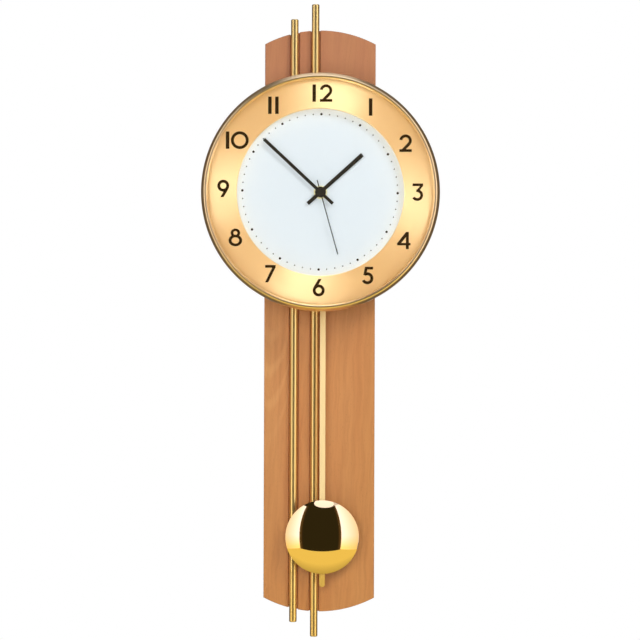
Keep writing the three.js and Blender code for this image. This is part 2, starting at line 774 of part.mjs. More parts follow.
function reductionWheel(side, reductionLevel, centreLevel) {
  const { toReduction, toRotor } = trainPlaces(side);
  const rear = housingInside + reductionLevel;
  const meshFront = housingInside + centreLevel + WHEEL_THICKNESS + MESH_OVERLAP;
  const pinionTooth = gapFacing(toReduction, REDUCTION_PINION_TEETH);
  return join(
    wheel(REDUCTION_TEETH, TRAIN_MODULE, toRotor, rear),
    pinion(REDUCTION_PINION_TEETH, TRAIN_MODULE, pinionTooth, rear + WHEEL_THICKNESS / 2, meshFront),
    post(ARBOR_RADIUS, arborRear, arborFront),
  );
}

function secondWheel() {
  const rear = housingInside + SECOND_WHEEL_LEVEL;
  const { toReduction } = trainPlaces(1);
  const arborTip = secondHandRear + CAP_HEIGHT / 2 - GAP;
  return join(
    wheel(CENTRE_TEETH, TRAIN_MODULE, toReduction, rear),
    post(2 * SECOND_ARBOR_RADIUS, rear - WHEEL_THICKNESS / 2, rear + 1.5 * WHEEL_THICKNESS),
    post(SECOND_ARBOR_RADIUS, arborRear, arborTip),
  );
}

function minuteWheel() {
  const rear = housingInside + MINUTE_WHEEL_LEVEL;
  const { toReduction } = trainPlaces(-1);
  const motionRear = housingInside + MOTION_LEVEL;
  const motionFront = motionRear + WHEEL_THICKNESS + MESH_OVERLAP;
  const cannonFront = minuteHandRear + HAND_THICKNESS;
  const body = join(
    wheel(CENTRE_TEETH, TRAIN_MODULE, toReduction, rear),
    pinion(MINUTE_PINION_TEETH, MOTION_MODULE, Math.PI / MINUTE_PINION_TEETH, motionRear - MESH_OVERLAP,
      motionFront),
    post(cannonRadius, rear - MESH_OVERLAP, cannonFront, 0, 0, MIDDLE_ROUND),
  );
  return cut(body, post(cannonBore, rear - OVERCUT, cannonFront + OVERCUT, 0, 0, MIDDLE_ROUND));
}

function motionWheel() {
  const rear = housingInside + MOTION_LEVEL;
  const pinionFront = housingInside + HOUR_WHEEL_LEVEL + WHEEL_THICKNESS + MESH_OVERLAP;
  const body = join(
    wheel(MOTION_TEETH, MOTION_MODULE, Math.PI, rear),
    pinion(MOTION_PINION_TEETH, hourModule, Math.PI, rear + WHEEL_THICKNESS / 2, pinionFront),
  );
  return cut(body, post(STUB_RADIUS + RUNNING, rear - OVERCUT, pinionFront + OVERCUT));
}

function hourWheel() {
  const rear = housingInside + HOUR_WHEEL_LEVEL;
  const pipeFront = hourHandRear + HAND_THICKNESS;
  const body = join(
    wheel(HOUR_TEETH, hourModule, Math.PI / HOUR_TEETH, rear),
    post(pipeRadius, rear, pipeFront, 0, 0, MIDDLE_ROUND),
  );
  return cut(body, post(pipeBore, rear - OVERCUT, pipeFront + OVERCUT, 0, 0, MIDDLE_ROUND));
}

// Movement housing

function housingOutline(inset = 0) {
  return rectangle(
    inset - HOUSING_LEFT, HOUSING_RIGHT - inset, inset - HOUSING_DOWN, HOUSING_UP - inset,
    HOUSING_CORNER - inset);
}

const trainArbors = [1, -1].flatMap((side) => {
  const { reduction, rotor } = trainPlaces(side);
  return [reduction, rotor];
});
const bayHalfWidth = BATTERY_RADIUS + BAY_SIDE_CLEARANCE;
const bayHalfLength = BATTERY_LENGTH / 2 + BAY_END_CLEARANCE;
const batteryDepth = housingRear + BAY_SIDE_CLEARANCE + BATTERY_RADIUS;
const bayFloor = batteryDepth + BATTERY_RADIUS + GAP;
const antennaDepth = housingInside + ANTENNA_LEVEL;
const flangeRear = housingInside + GAP;
const boardRear = flangeRear + BUTTON_FLANGE_THICKNESS + BUTTON_TRAVEL + SWITCH_SPACE;
const cradlePlaces = [-1, 1].map((side) => ANTENNA_X + side * (ANTENNA_LENGTH / 2 - CRADLE_INSET));
const boardPostPlaces = [BOARD_LOW_Y, BOARD_HIGH_Y].map((y) =>
  [(BOARD_LEFT_X + BOARD_RIGHT_X) / 2, y - Math.sign(y) * BOARD_POST_INSET]);
const statorX = STATOR_WIDTH / 2 - STATOR_LEFT;

function movementBack() {
  const split = housingRear + HOUSING_SPLIT;
  const tray = cut(
    slab(housingOutline(), housingRear, split, ARC_STEPS),
    slab(housingOutline(HOUSING_WALL), housingInside, split + OVERCUT, ARC_STEPS));
  const bay = rectangle(
    BATTERY_X - bayHalfWidth - BAY_WALL, BATTERY_X + bayHalfWidth + BAY_WALL,
    -bayHalfLength - BAY_WALL, bayHalfLength + BAY_WALL);
  const bayInside = rectangle(
    BATTERY_X - bayHalfWidth, BATTERY_X + bayHalfWidth, -bayHalfLength, bayHalfLength);
  const statorPosts = [1, -1].map((side) => post(
    SUPPORT_POST_RADIUS, housingInside - OVERCUT, housingInside + STATOR_LEVEL,
    STATOR_ARM / 2 - STATOR_LEFT, side * statorY(STATOR_BAR)));
  const boardPosts = boardPostPlaces.map(([x, y]) =>
    post(SUPPORT_POST_RADIUS, housingInside - OVERCUT, boardRear, x, y));
  const coilPost = post(
    DRIVE_COIL_BORE - GAP, housingInside - OVERCUT, housingInside + DRIVE_COIL_THICKNESS,
    PENDULUM_X - DIAL_X, PIVOT_ABOVE_DIAL - MAGNET_BELOW_PIVOT);
  const cradles = cradlePlaces.map((x) => slab(
    rectangle(x - CRADLE_THICKNESS / 2, x + CRADLE_THICKNESS / 2, ANTENNA_Y - CRADLE_WIDTH / 2,
      ANTENNA_Y + CRADLE_WIDTH / 2),
    housingInside - OVERCUT, antennaDepth));
  const pivotPin = join(
    post(PIVOT_RADIUS, housingRear - PIVOT_LENGTH, housingRear + OVERCUT),
    post(PIVOT_RADIUS + PIVOT_HEAD, housingRear - PIVOT_LENGTH, housingRear - PIVOT_LENGTH + PIVOT_HEAD),
  ).translate(PENDULUM_X - DIAL_X, PIVOT_ABOVE_DIAL, 0);
  const body = join(
    tray, slab(bay, housingRear, bayFloor + BAY_WALL), ...statorPosts, ...boardPosts, coilPost, ...cradles,
    pivotPin);
  const antennaSeat = new THREE.CylinderGeometry(
    ANTENNA_RADIUS + GAP, ANTENNA_RADIUS + GAP, ANTENNA_LENGTH, MIDDLE_ROUND).rotateZ(Math.PI / 2);
  antennaSeat.translate(ANTENNA_X, ANTENNA_Y, antennaDepth);
  const pivots = [new THREE.Vector2(0, 0), ...trainArbors].map(({ x, y }) =>
    post(ARBOR_RADIUS + RUNNING, housingInside - PIVOT_HOLE_DEPTH, housingInside + OVERCUT, x, y));
  const button = post(
    BUTTON_RADIUS + GAP, housingRear - OVERCUT, housingInside + OVERCUT, BUTTON_X, BUTTON_Y);
  return cut(body, slab(bayInside, housingRear - OVERCUT, bayFloor), antennaSeat, ...pivots, button);
}

function movementFront() {
  const edge = housingRear + HOUSING_SPLIT + GAP;
  const lid = cut(
    slab(housingOutline(), edge, housingFront, ARC_STEPS),
    slab(housingOutline(HOUSING_WALL), edge - OVERCUT, coverInside, ARC_STEPS));
  const bushing = post(BUSHING_RADIUS, coverInside, nutFront, 0, 0, MIDDLE_ROUND);
  const stub = post(
    STUB_RADIUS, housingInside + MOTION_LEVEL - MESH_OVERLAP, coverInside + OVERCUT, motionDistance);
  const bore = post(
    BUSHING_RADIUS - BUSHING_WALL, coverInside - OVERCUT, nutFront + OVERCUT, 0, 0, MIDDLE_ROUND);
  const pivots = trainArbors.map(({ x, y }) =>
    post(ARBOR_RADIUS + RUNNING, coverInside - OVERCUT, coverInside + PIVOT_HOLE_DEPTH, x, y));
  return cut(join(lid, bushing, stub), bore, ...pivots);
}

// Battery

function batteryCell() {
  const half = BATTERY_LENGTH / 2;
  const shoulder = half - BATTERY_NUB_LENGTH;
  return turned([
    [0, -half],
    [BATTERY_RADIUS - BATTERY_EDGE, -half],
    [BATTERY_RADIUS, BATTERY_EDGE - half],
    [BATTERY_RADIUS, shoulder - BATTERY_EDGE],
    [BATTERY_RADIUS - BATTERY_EDGE, shoulder],
    [BATTERY_NUB_RADIUS, shoulder],
    [BATTERY_NUB_RADIUS, half],
    [0, half],
  ], MIDDLE_ROUND).rotateX(-Math.PI / 2).translate(BATTERY_X, 0, batteryDepth);
}

// A leaf bowed towards the cell by the given amount, standing against one end of the bay.
function contactLeaf(side, bow) {
  const wall = side * (bayHalfLength - GAP);
  const inner = wall - side * CONTACT_THICKNESS;
  const low = batteryDepth - CONTACT_HEIGHT / 2;
  const high = batteryDepth + CONTACT_HEIGHT / 2;
  const shape = new THREE.Shape();
  shape.moveTo(low, wall);
  shape.lineTo(batteryDepth, wall - side * bow);
  shape.lineTo(high, wall);
  shape.lineTo(high, inner);
  shape.lineTo(batteryDepth, inner - side * bow);
  shape.lineTo(low, inner);
  const leaf = new THREE.ExtrudeGeometry(shape, { depth: CONTACT_WIDTH, bevelEnabled: false });
  return leaf.rotateY(-Math.PI / 2).translate(BATTERY_X + CONTACT_WIDTH / 2, 0, 0);
}

// Motors

function statorY(fromCoreSide) {
  return trainPlaces(1).rotor.y - STATOR_BAR / 2 + fromCoreSide - STATOR_ARM / 2;
}

function stator(side) {
  const { rotor } = trainPlaces(1);
  const low = rotor.y - STATOR_BAR / 2;
  const right = STATOR_WIDTH - STATOR_LEFT;
  const plate = rectangle(-STATOR_LEFT, right, low, low + STATOR_SPAN);
  plate.holes.push(rectangle(
    STATOR_ARM - STATOR_LEFT, right - STATOR_ARM, low + STATOR_BAR, low + STATOR_SPAN - CORE_WIDTH));
  plate.holes.push(circle(ROTOR_MAGNET_RADIUS + 2 * GAP, rotor.x, rotor.y));
  const rear = housingInside + STATOR_LEVEL;
  const made = slab(plate, rear, rear + STATOR_THICKNESS, SMALL_ROUND);
  return side > 0 ? made : made.rotateX(Math.PI).translate(0, 0, 2 * rear + STATOR_THICKNESS);
}

function motorCoil(side) {
  const coreDepth = housingInside + STATOR_LEVEL + STATOR_THICKNESS / 2;
  const coreY = side * (trainPlaces(1).rotor.y - STATOR_BAR / 2 + STATOR_SPAN - CORE_WIDTH / 2);
  const length = STATOR_WIDTH - 2 * STATOR_ARM - 2 * GAP;
  const section = rectangle(
    -COIL_HEIGHT / 2, COIL_HEIGHT / 2, -COIL_WIDTH / 2, COIL_WIDTH / 2, COIL_CORNER);
  const halfThick = STATOR_THICKNESS / 2 + GAP;
  const halfWide = CORE_WIDTH / 2 + GAP;
  section.holes.push(rectangle(-halfThick, halfThick, -halfWide, halfWide));
  return slab(section, -length / 2, length / 2, ARC_STEPS).rotateY(Math.PI / 2)
    .translate(statorX, coreY, coreDepth);
}

// Receiver

function circuitBoard() {
  const outline = rectangle(BOARD_LEFT_X, BOARD_RIGHT_X, BOARD_LOW_Y, BOARD_HIGH_Y);
  return slab(outline, boardRear, boardRear + LAMINATE);
}

function antennaRod() {
  const rodPiece = new THREE.CylinderGeometry(ANTENNA_RADIUS, ANTENNA_RADIUS, ANTENNA_LENGTH, MIDDLE_ROUND);
  return rodPiece.rotateZ(Math.PI / 2).translate(ANTENNA_X, ANTENNA_Y, antennaDepth);
}

function antennaCoil() {
  const inner = ANTENNA_RADIUS + GAP;
  const half = ANTENNA_COIL_LENGTH / 2;
  return flatRing(inner, inner + ANTENNA_COIL_WALL, -half, half)
    .rotateY(Math.PI / 2).translate(ANTENNA_COIL_X, ANTENNA_Y, antennaDepth);
}

function setButton() {
  return turned([
    [0, housingRear - BUTTON_PROUD],
    [BUTTON_RADIUS, housingRear - BUTTON_PROUD],
    [BUTTON_RADIUS, flangeRear],
    [BUTTON_RADIUS + BUTTON_FLANGE, flangeRear],
    [BUTTON_RADIUS + BUTTON_FLANGE, flangeRear + BUTTON_FLANGE_THICKNESS],
    [0, flangeRear + BUTTON_FLANGE_THICKNESS],
  ], MIDDLE_ROUND).translate(BUTTON_X, BUTTON_Y, 0);
}

// Pendulum, measured from its pivot

function pendulumLever() {
  const arm = rectangle(-LEVER_WIDTH / 2, LEVER_WIDTH / 2, -HOOK_BELOW_PIVOT - LEVER_WIDTH / 2, 0,
    LEVER_CORNER);
  const hookRear = stripRear - GAP - HOOK_HEAD_THICKNESS;
  const body = join(
    slab(arm, leverRear, leverFront, CORNER_STEPS),
    post(LEVER_EYE_RADIUS, leverRear, leverFront, 0, 0, MIDDLE_ROUND),
    post(MAGNET_RADIUS + MAGNET_RIM, leverRear, leverFront, 0, -MAGNET_BELOW_PIVOT, MIDDLE_ROUND),
    post(HOOK_RADIUS, hookRear, leverRear + LEVER_THICKNESS / 2, 0, -HOOK_BELOW_PIVOT),
    post(HOOK_RADIUS + HOOK_HEAD, hookRear, hookRear + HOOK_HEAD_THICKNESS, 0, -HOOK_BELOW_PIVOT));
  return cut(body, post(PIVOT_RADIUS + RUNNING, leverRear - OVERCUT, leverFront + OVERCUT));
}

function pendulumMagnet() {
  const front = leverFront + MAGNET_THICKNESS;
  return post(MAGNET_RADIUS, leverFront, front, 0, -MAGNET_BELOW_PIVOT, MIDDLE_ROUND);
}

const bobDrop = PIVOT_ABOVE_DIAL + BOB_BELOW_DIAL;

function pendulumStrip() {
  const bottom = -bobDrop - STRIP_BELOW_BOB;
  const top = -HOOK_BELOW_PIVOT + STRIP_ABOVE_HOOK;
  const half = STRIP_WIDTH / 2;
  const shape = new THREE.Shape();
  shape.moveTo(-half, bottom + half);
  shape.absarc(0, bottom + half, half, Math.PI, 2 * Math.PI, false);
  shape.absarc(half - STRIP_CORNER, top - STRIP_CORNER, STRIP_CORNER, 0, Math.PI / 2, false);
  shape.absarc(STRIP_CORNER - half, top - STRIP_CORNER, STRIP_CORNER, Math.PI / 2, Math.PI, false);
  const entryY = -HOOK_BELOW_PIVOT - KEYHOLE_DROP;
  const hook = slab(
    stadium(HOOK_RADIUS + RUNNING, entryY, -HOOK_BELOW_PIVOT), stripRear - OVERCUT, stripFront + OVERCUT);
  const entry = post(
    HOOK_RADIUS + HOOK_HEAD + RUNNING, stripRear - OVERCUT, stripFront + OVERCUT, 0, entryY);
  return cut(slab(shape, stripRear, stripFront), hook, entry);
}

function bobShell() {
  const sphere = (BOB_RADIUS ** 2 + BOB_DOME ** 2) / (2 * BOB_DOME);
  const rimFront = bobRear + BOB_RIM;
  const centre = rimFront + BOB_DOME - sphere;
  const edge = THREE.MathUtils.radToDeg(Math.asin((rimFront - centre) / sphere));
  const innerRadius = BOB_RADIUS - BOB_WALL;
  const innerSphere = sphere - BOB_WALL;
  const innerEdge = THREE.MathUtils.radToDeg(Math.acos(innerRadius / innerSphere));
  return turned([
    ...bend(sphere, 0, centre, 90, edge, 5),
    [BOB_RADIUS, bobRear],
    [innerRadius, bobRear],
    ...bend(innerSphere, 0, centre, innerEdge, 90, 4),
  ], BOB_ROUND).translate(0, -bobDrop, 0);
}

// The plate closes the bob, and its channel grips the strip from behind.
function bobBackPlate() {
  const plate = post(BOB_RADIUS - BOB_WALL - GAP, bobRear, bobRear + BOB_PLATE, 0, 0, BOB_ROUND);
  const inner = STRIP_WIDTH / 2 + GAP;
  const outer = inner + CHANNEL_WALL;
  const lipFront = stripRear - GAP;
  const lipRear = lipFront - CHANNEL_WALL;
  const lips = [-1, 1].map((side) => {
    const shape = new THREE.Shape();
    shape.moveTo(side * inner, bobRear + BOB_PLATE / 2);
    shape.lineTo(side * inner, lipFront);
    shape.lineTo(side * (inner - CHANNEL_HOOK), lipFront);
    shape.lineTo(side * (inner - CHANNEL_HOOK), lipRear);
    shape.lineTo(side * outer, lipRear);
    shape.lineTo(side * outer, bobRear + BOB_PLATE / 2);
    const lip = new THREE.ExtrudeGeometry(shape, { depth: CHANNEL_LENGTH, bevelEnabled: false });
    return lip.rotateX(Math.PI / 2).translate(0, CHANNEL_LENGTH / 2, 0);
  });
  return join(plate, ...lips).translate(0, -bobDrop, 0);
}

function driveCoil() {
  return flatRing(DRIVE_COIL_BORE, DRIVE_COIL_RADIUS, housingInside, housingInside + DRIVE_COIL_THICKNESS)
    .translate(PENDULUM_X - DIAL_X, PIVOT_ABOVE_DIAL - MAGNET_BELOW_PIVOT, 0);
}

// Assembly

function piece(name, geometry, material) {
  const mesh = new THREE.Mesh(geometry, material);
  mesh.name = name;
  return mesh;
}

function groupAt(x, y, turn, ...pieces) {
  const group = new THREE.Group();
  group.position.set(x, y, 0);
  group.rotation.z = turn;
  for (const each of pieces) group.add(each);
  return group;
}

const board = groupAt(0, 0, 0,
  piece('back_board', backBoard(), finishes.beech),
  piece('hanger_plate', hangerPlate(), finishes.steel));
for (const [name, side] of [['left', -1], ['right', 1]]) {
  const screw = countersunk(SMALL_HEAD_RADIUS, SMALL_SHANK_RADIUS, HANGER_SCREW_LENGTH);
  const place = groupAt(side * HANGER_SCREW_SPACING / 2, hangerScrewY, 0,
    piece(`hanger_screw_${name}`, screw, finishes.steel));
  board.add(place);
}

const rods = groupAt(0, 0, 0);
for (const [name, x, rise, length] of [
  ['left', ROD_LEFT_X, ROD_LEFT_RISE, ROD_LEFT_LENGTH],
  ['right', ROD_RIGHT_X, ROD_RIGHT_RISE, ROD_RIGHT_LENGTH],
]) {
  const upright = piece(`brass_rod_${name}`, rod(length), finishes.brass);
  upright.position.set(x, boardTop + rise - length, rodDepth);
  rods.add(upright);
}
for (const [name, x, y] of postPlaces) {
  const screw = countersunk(SMALL_HEAD_RADIUS, SMALL_SHANK_RADIUS, postScrewLength);
  rods.add(groupAt(x, y, 0,
    piece(`rod_post_${name}`, rodPost(), finishes.brass),
    piece(`rod_screw_${name}`, screw, finishes.steel)));
}

const spacers = groupAt(0, 0, 0);
for (const [name, x, y] of spacerPlaces) {
  const screw = countersunk(LONG_HEAD_RADIUS, LONG_SHANK_RADIUS, spacerScrewLength);
  spacers.add(groupAt(x, y, 0,
    piece(`case_spacer_${name}`, spacer(), finishes.brass),
    piece(`case_screw_${name}`, screw, finishes.steel)));
}

const caseGroup = groupAt(DIAL_X, dialY, 0,
  piece('case_pan', casePan(), finishes.brass),
  piece('bezel_ring', bezelRing(), finishes.gold),
  piece('glass', glassDisc(), finishes.glass),
  piece('chapter_ring', chapterRing(), finishes.gold),
  piece('dial_disc', dialDisc(), finishes.white));

const movement = groupAt(DIAL_X, dialY, 0,
  piece('movement_back', movementBack(), finishes.darkPlastic),
  piece('movement_front', movementFront(), finishes.darkPlastic),
  piece('dial_washer', dialWasher(), finishes.rubber),
  piece('centre_nut', centreNut(), finishes.brass),
  piece('battery', batteryCell(), finishes.battery),
  piece('battery_contact_plus', contactLeaf(1, 0), finishes.steel),
  piece('battery_contact_minus', contactLeaf(-1, CONTACT_BOW), finishes.steel),
  piece('circuit_board', circuitBoard(), finishes.laminate),
  piece('antenna_rod', antennaRod(), finishes.ferrite),
  piece('antenna_coil', antennaCoil(), finishes.copper),
  piece('pendulum_coil', driveCoil(), finishes.copper),
  piece('set_button', setButton(), finishes.red),
  piece('second_wheel', secondWheel(), finishes.wheelPlastic),
  piece('minute_wheel', minuteWheel(), finishes.wheelPlastic),
  piece('hour_wheel', hourWheel(), finishes.wheelPlastic));
movement.add(groupAt(motionDistance, 0, 0, piece('motion_wheel', motionWheel(), finishes.wheelPlastic)));
for (const [name, side, reductionLevel, centreLevel] of [
  ['second', 1, SECOND_REDUCTION_LEVEL, SECOND_WHEEL_LEVEL],
  ['minute', -1, MINUTE_REDUCTION_LEVEL, MINUTE_WHEEL_LEVEL],
]) {
  const { reduction, rotor } = trainPlaces(side);
  movement.add(
    piece(`${name}_stator`, stator(side), finishes.steel),
    piece(`${name}_coil`, motorCoil(side), finishes.copper),
    groupAt(rotor.x, rotor.y, 0,
      piece(`${name}_rotor`, rotorPiece(side, reductionLevel), finishes.ferrite)),
    groupAt(reduction.x, reduction.y, 0,
      piece(`${name}_reduction_wheel`, reductionWheel(side, reductionLevel, centreLevel),
        finishes.wheelPlastic)));
}

const hourOutline = handOutline(HOUR_ROOT_WIDTH, HOUR_TIP_WIDTH, HOUR_LENGTH, HOUR_TAIL);
const minuteOutline = handOutline(MINUTE_WIDTH, MINUTE_WIDTH, MINUTE_LENGTH, MINUTE_TAIL);
const hourHand = pressedHand(hourOutline, HOUR_HUB_RADIUS, pipeRadius, hourHandRear);
const minuteHand = pressedHand(minuteOutline, MINUTE_HUB_RADIUS, cannonRadius, minuteHandRear);
const hands = groupAt(DIAL_X, dialY, 0,
  groupAt(0, 0, -HOUR_ANGLE, piece('hour_hand', hourHand, finishes.black)),
  groupAt(0, 0, -MINUTE_ANGLE, piece('minute_hand', minuteHand, finishes.black)),
  groupAt(0, 0, -SECOND_ANGLE, piece('second_hand', secondHand(), finishes.black)));

const pendulum = groupAt(PENDULUM_X, dialY + PIVOT_ABOVE_DIAL, 0,
  piece('pendulum_lever', pendulumLever(), finishes.wheelPlastic),
  piece('pendulum_magnet', pendulumMagnet(), finishes.steel),
  piece('pendulum_strip', pendulumStrip(), finishes.brass),
  piece('bob_shell', bobShell(), finishes.polished),
  piece('bob_back_plate', bobBackPlate(), finishes.steel));

const clock = new THREE.Group();
clock.rotation.x = Math.PI / 2;
clock.add(board, rods, spacers, caseGroup, movement, hands, pendulum);

export default clock;
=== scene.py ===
# %% [markdown]
# # A pendulum wall clock in beech and brass
# The clock is a narrow beech board with two brass rods in front of it, a round gilt case with an hour ring and a
# white dial, three black hands, and a flat pendulum rod with a mirror-bright bob. Its solid model is made elsewhere
# and is loaded first, as a fixed frame. Every cell below then makes one finished piece in the same frame: metres,
# Z up, the wall in the plane Y = 0 and the viewer out along -Y.

# %% Load the frame
import math
import bmesh
import bpy
from mathutils import Matrix, Vector
from mathutils.geometry import delaunay_2d_cdt


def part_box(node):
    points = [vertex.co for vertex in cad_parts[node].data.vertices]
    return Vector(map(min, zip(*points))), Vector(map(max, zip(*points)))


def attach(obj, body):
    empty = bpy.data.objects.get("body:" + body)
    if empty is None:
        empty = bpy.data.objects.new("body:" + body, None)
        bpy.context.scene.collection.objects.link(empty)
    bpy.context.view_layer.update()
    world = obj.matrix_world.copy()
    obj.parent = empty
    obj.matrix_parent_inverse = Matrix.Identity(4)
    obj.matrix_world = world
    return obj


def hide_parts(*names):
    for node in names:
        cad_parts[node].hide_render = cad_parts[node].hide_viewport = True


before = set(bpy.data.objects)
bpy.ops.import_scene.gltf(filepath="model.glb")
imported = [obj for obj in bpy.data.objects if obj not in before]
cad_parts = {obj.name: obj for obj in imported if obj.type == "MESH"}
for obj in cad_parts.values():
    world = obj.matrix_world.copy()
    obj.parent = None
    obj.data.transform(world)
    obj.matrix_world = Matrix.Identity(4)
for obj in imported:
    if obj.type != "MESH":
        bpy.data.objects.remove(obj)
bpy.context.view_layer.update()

scene = bpy.context.scene

# %% [markdown]
# ## Measures
# A maker thinks in millimetres out from the wall, so the pieces below are given as x to the right, z up and a
# depth from the wall. One helper turns these into Blender's metres. The depths stack up from the wall: board, rods,
# spacers, case, movement, dial, hands, ring and glass.

# %% Places and depths in millimetres
MM = 0.001
DIAL = (0.5, -115.0)
BOARD_THICK = 16.0
PAN_REAR = 40.0
DIAL_REAR, DIAL_FRONT = 62.5, 64.5
RING_FRONT = 74.5
GLASS_REAR, GLASS_FRONT = 76.5, 79.5
ROD_DEPTH, ROD_RADIUS = 22.0, 4.0
ROD_X = {"left": -27.4, "right": -5.2}
STRIP_REAR, STRIP_FRONT = 34.0, 35.0
PENDULUM_X = 3.5
BOB_Z = -479.1


def place(x, z, depth):
    return (x * MM, -depth * MM, z * MM)


print("dial axis at", place(*DIAL, DIAL_FRONT), "bob centre at", place(PENDULUM_X, BOB_Z, 42))

# %% [markdown]
# ## From outlines to meshes
# Almost every piece is either turned on an axis or cut from flat stock. A turned piece is a profile carried round
# in steps; the mesh could also come from the Spin tool, but writing the rings out keeps the poles as single points.
# A flat piece starts from overlapping outlines that a constrained triangulation joins into one face, which is then
# given its thickness and a small worked edge. Both end in one finishing helper that welds doubled points, turns the
# faces outwards and shades everything smooth except the true edges.


# %% Finish a mesh
SHARP = math.radians(32)


def finished(name, bm, finish):
    bmesh.ops.remove_doubles(bm, verts=bm.verts, dist=1e-7)
    bmesh.ops.recalc_face_normals(bm, faces=bm.faces)
    mesh = bpy.data.meshes.new(name)
    bm.to_mesh(mesh)
    bm.free()
    mesh.shade_smooth()
    mesh.set_sharp_from_angle(angle=SHARP)
    mesh.materials.append(finish)
    piece = bpy.data.objects.new(name, mesh)
    scene.collection.objects.link(piece)
    return piece


# %% Turned pieces
def turned(name, profile, middle, finish, segments=128, upright=False):
    """A profile of (radius, along) points carried round an axis: out of the wall through (x, z), or upright
    through (x, depth). Segments are the sides of the circle."""
    bm = bmesh.new()
    rings = []
    for radius, along in profile:
        ring = []
        for step in range(1 if radius < 1e-6 else segments):
            turn = 2 * math.pi * step / segments
            a, b = radius * math.sin(turn), radius * math.cos(turn)
            spot = place(middle[0] + a, along, middle[1] + b) if upright else place(middle[0] + a, middle[1] + b, along)
            ring.append(bm.verts.new(spot))
        rings.append(ring)
    for near, far in zip(rings, rings[1:] + rings[:1]):
        for i in range(segments):
            j = (i + 1) % segments
            corners = [near[i % len(near)], near[j % len(near)], far[j % len(far)], far[i % len(far)]]
            corners = list(dict.fromkeys(corners))
            if len(corners) > 2:
                bm.faces.new(corners)
    return finished(name, bm, finish)


def bend(radius, centre_radius, centre_along, start, end, steps=8):
    """Points of an arc in a profile, from start to end in degrees."""
    turns = [math.radians(start + (end - start) * i / steps) for i in range(steps + 1)]
    return [(centre_radius + radius * math.cos(t), centre_along + radius * math.sin(t)) for t in turns]


def plug(radius, low, high, middle, finish, segments=32, **settings):
    """A plain cylinder to cut with."""
    return turned("tool", [(0, low), (radius, low), (radius, high), (0, high)], middle, finish, segments, **settings)


# %% Flat outlines
def disc(radius, x=0.0, z=0.0, steps=48):
    return [(x + radius * math.cos(2 * math.pi * i / steps), z + radius * math.sin(2 * math.pi * i / steps))
            for i in range(steps)]


def box_outline(left, right, low, high, corner=0.0, steps=8):
    if corner == 0:
        return [(left, low), (right, low), (right, high), (left, high)]
    corners = [(right - corner, low + corner, -90), (right - corner, high - corner, 0),
               (left + corner, high - corner, 90), (left + corner, low + corner, 180)]
    return [point for x, z, start in corners for point in bend(corner, x, z, start, start + 90, steps)]


def stadium(half_width, low, high, x=0.0, steps=20):
    return bend(half_width, x, high, 0, 180, steps) + bend(half_width, x, low, 180, 360, steps)


def turned_outline(outline, degrees, middle):
    """An outline drawn pointing to twelve, turned clockwise about the middle."""
    c, s = math.cos(math.radians(degrees)), math.sin(math.radians(degrees))
    return [(middle[0] + x * c + z * s, middle[1] - x * s + z * c) for x, z in outline]


# %% Flat pieces
def flat_faces(shapes, holes=()):
    """The corners and triangles of overlapping outlines joined into one, less the holes."""
    points, faces = [], []
    for outline in [*shapes, *holes]:
        twice_area = sum(a[0] * b[1] - b[0] * a[1] for a, b in zip(outline, outline[1:] + outline[:1]))
        ordered = outline if twice_area > 0 else outline[::-1]
        faces.append(list(range(len(points), len(points) + len(ordered))))
        points += [Vector(p) for p in ordered]
    corners, _, triangles, _, _, sources = delaunay_2d_cdt(points, [], faces, 0, 1e-5)
    solid = set(range(len(shapes)))
    return corners, [t for t, s in zip(triangles, sources) if s and set(s) <= solid]


def flat_piece(name, shapes, holes, rear, front, finish, edge=0.0, steps=3, rear_edge=False):
    corners, triangles = flat_faces(shapes, holes)
    bm = bmesh.new()
    layers = [[bm.verts.new(place(c.x, c.y, depth)) for c in corners] for depth in (rear, front)]
    for layer in layers:
        for a, b, c in triangles:
            bm.faces.new([layer[a], layer[b], layer[c]])
    bmesh.ops.recalc_face_normals(bm, faces=bm.faces)
    used = {v for face in bm.faces for v in face.verts}
    bmesh.ops.delete(bm, geom=[v for v in bm.verts if v not in used], context="VERTS")
    rims = [e for e in bm.edges if len(e.link_faces) == 1]
    wall_between(bm, rims, rear, front)
    bmesh.ops.dissolve_limit(bm, angle_limit=0.001, verts=bm.verts, edges=bm.edges)
    bmesh.ops.recalc_face_normals(bm, faces=bm.faces)
    if edge:
        worked = [e for e in bm.edges if len(e.link_faces) == 2 and e.calc_face_angle() > 0.9
                  and abs(e.verts[0].co.y - e.verts[1].co.y) < 1e-7
                  and (rear_edge or e.verts[0].co.y < -(rear + front) * MM / 2)]
        bmesh.ops.bevel(bm, geom=worked, offset=edge * MM, segments=steps, profile=0.5, affect="EDGES",
                        clamp_overlap=True)
    return finished(name, bm, finish)


def slab(outline, rear, front, finish):
    """A plain flat piece to cut with."""
    return flat_piece("tool", [outline], [], rear, front, finish)


def wall_between(bm, rims, rear, front):
    """Joins the rims of two equal faces that lie one in front of the other."""
    bm.verts.ensure_lookup_table()
    partner = {}
    for v in {v for e in rims for v in e.verts}:
        partner.setdefault((round(v.co.x, 8), round(v.co.z, 8)), {})[v.co.y < -(rear + front) * MM / 2] = v
    for e in [e for e in rims if e.verts[0].co.y < -(rear + front) * MM / 2]:
        a, b = e.verts
        bm.faces.new([a, b, partner[round(b.co.x, 8), round(b.co.z, 8)][False],
                      partner[round(a.co.x, 8), round(a.co.z, 8)][False]])


# %% Joining and cutting
def worked_with(piece, tool, operation):
    """Joins a tool to a piece or cuts it away, and throws the tool away."""
    change = piece.modifiers.new("cut", "BOOLEAN")
    change.operation, change.solver, change.object = operation, "EXACT", tool
    bpy.context.view_layer.update()
    mesh = bpy.data.meshes.new_from_object(piece.evaluated_get(bpy.context.evaluated_depsgraph_get()))
    piece.modifiers.remove(change)
    piece.data = mesh
    bpy.data.objects.remove(tool)
    mesh.shade_smooth()
    mesh.set_sharp_from_angle(angle=SHARP)


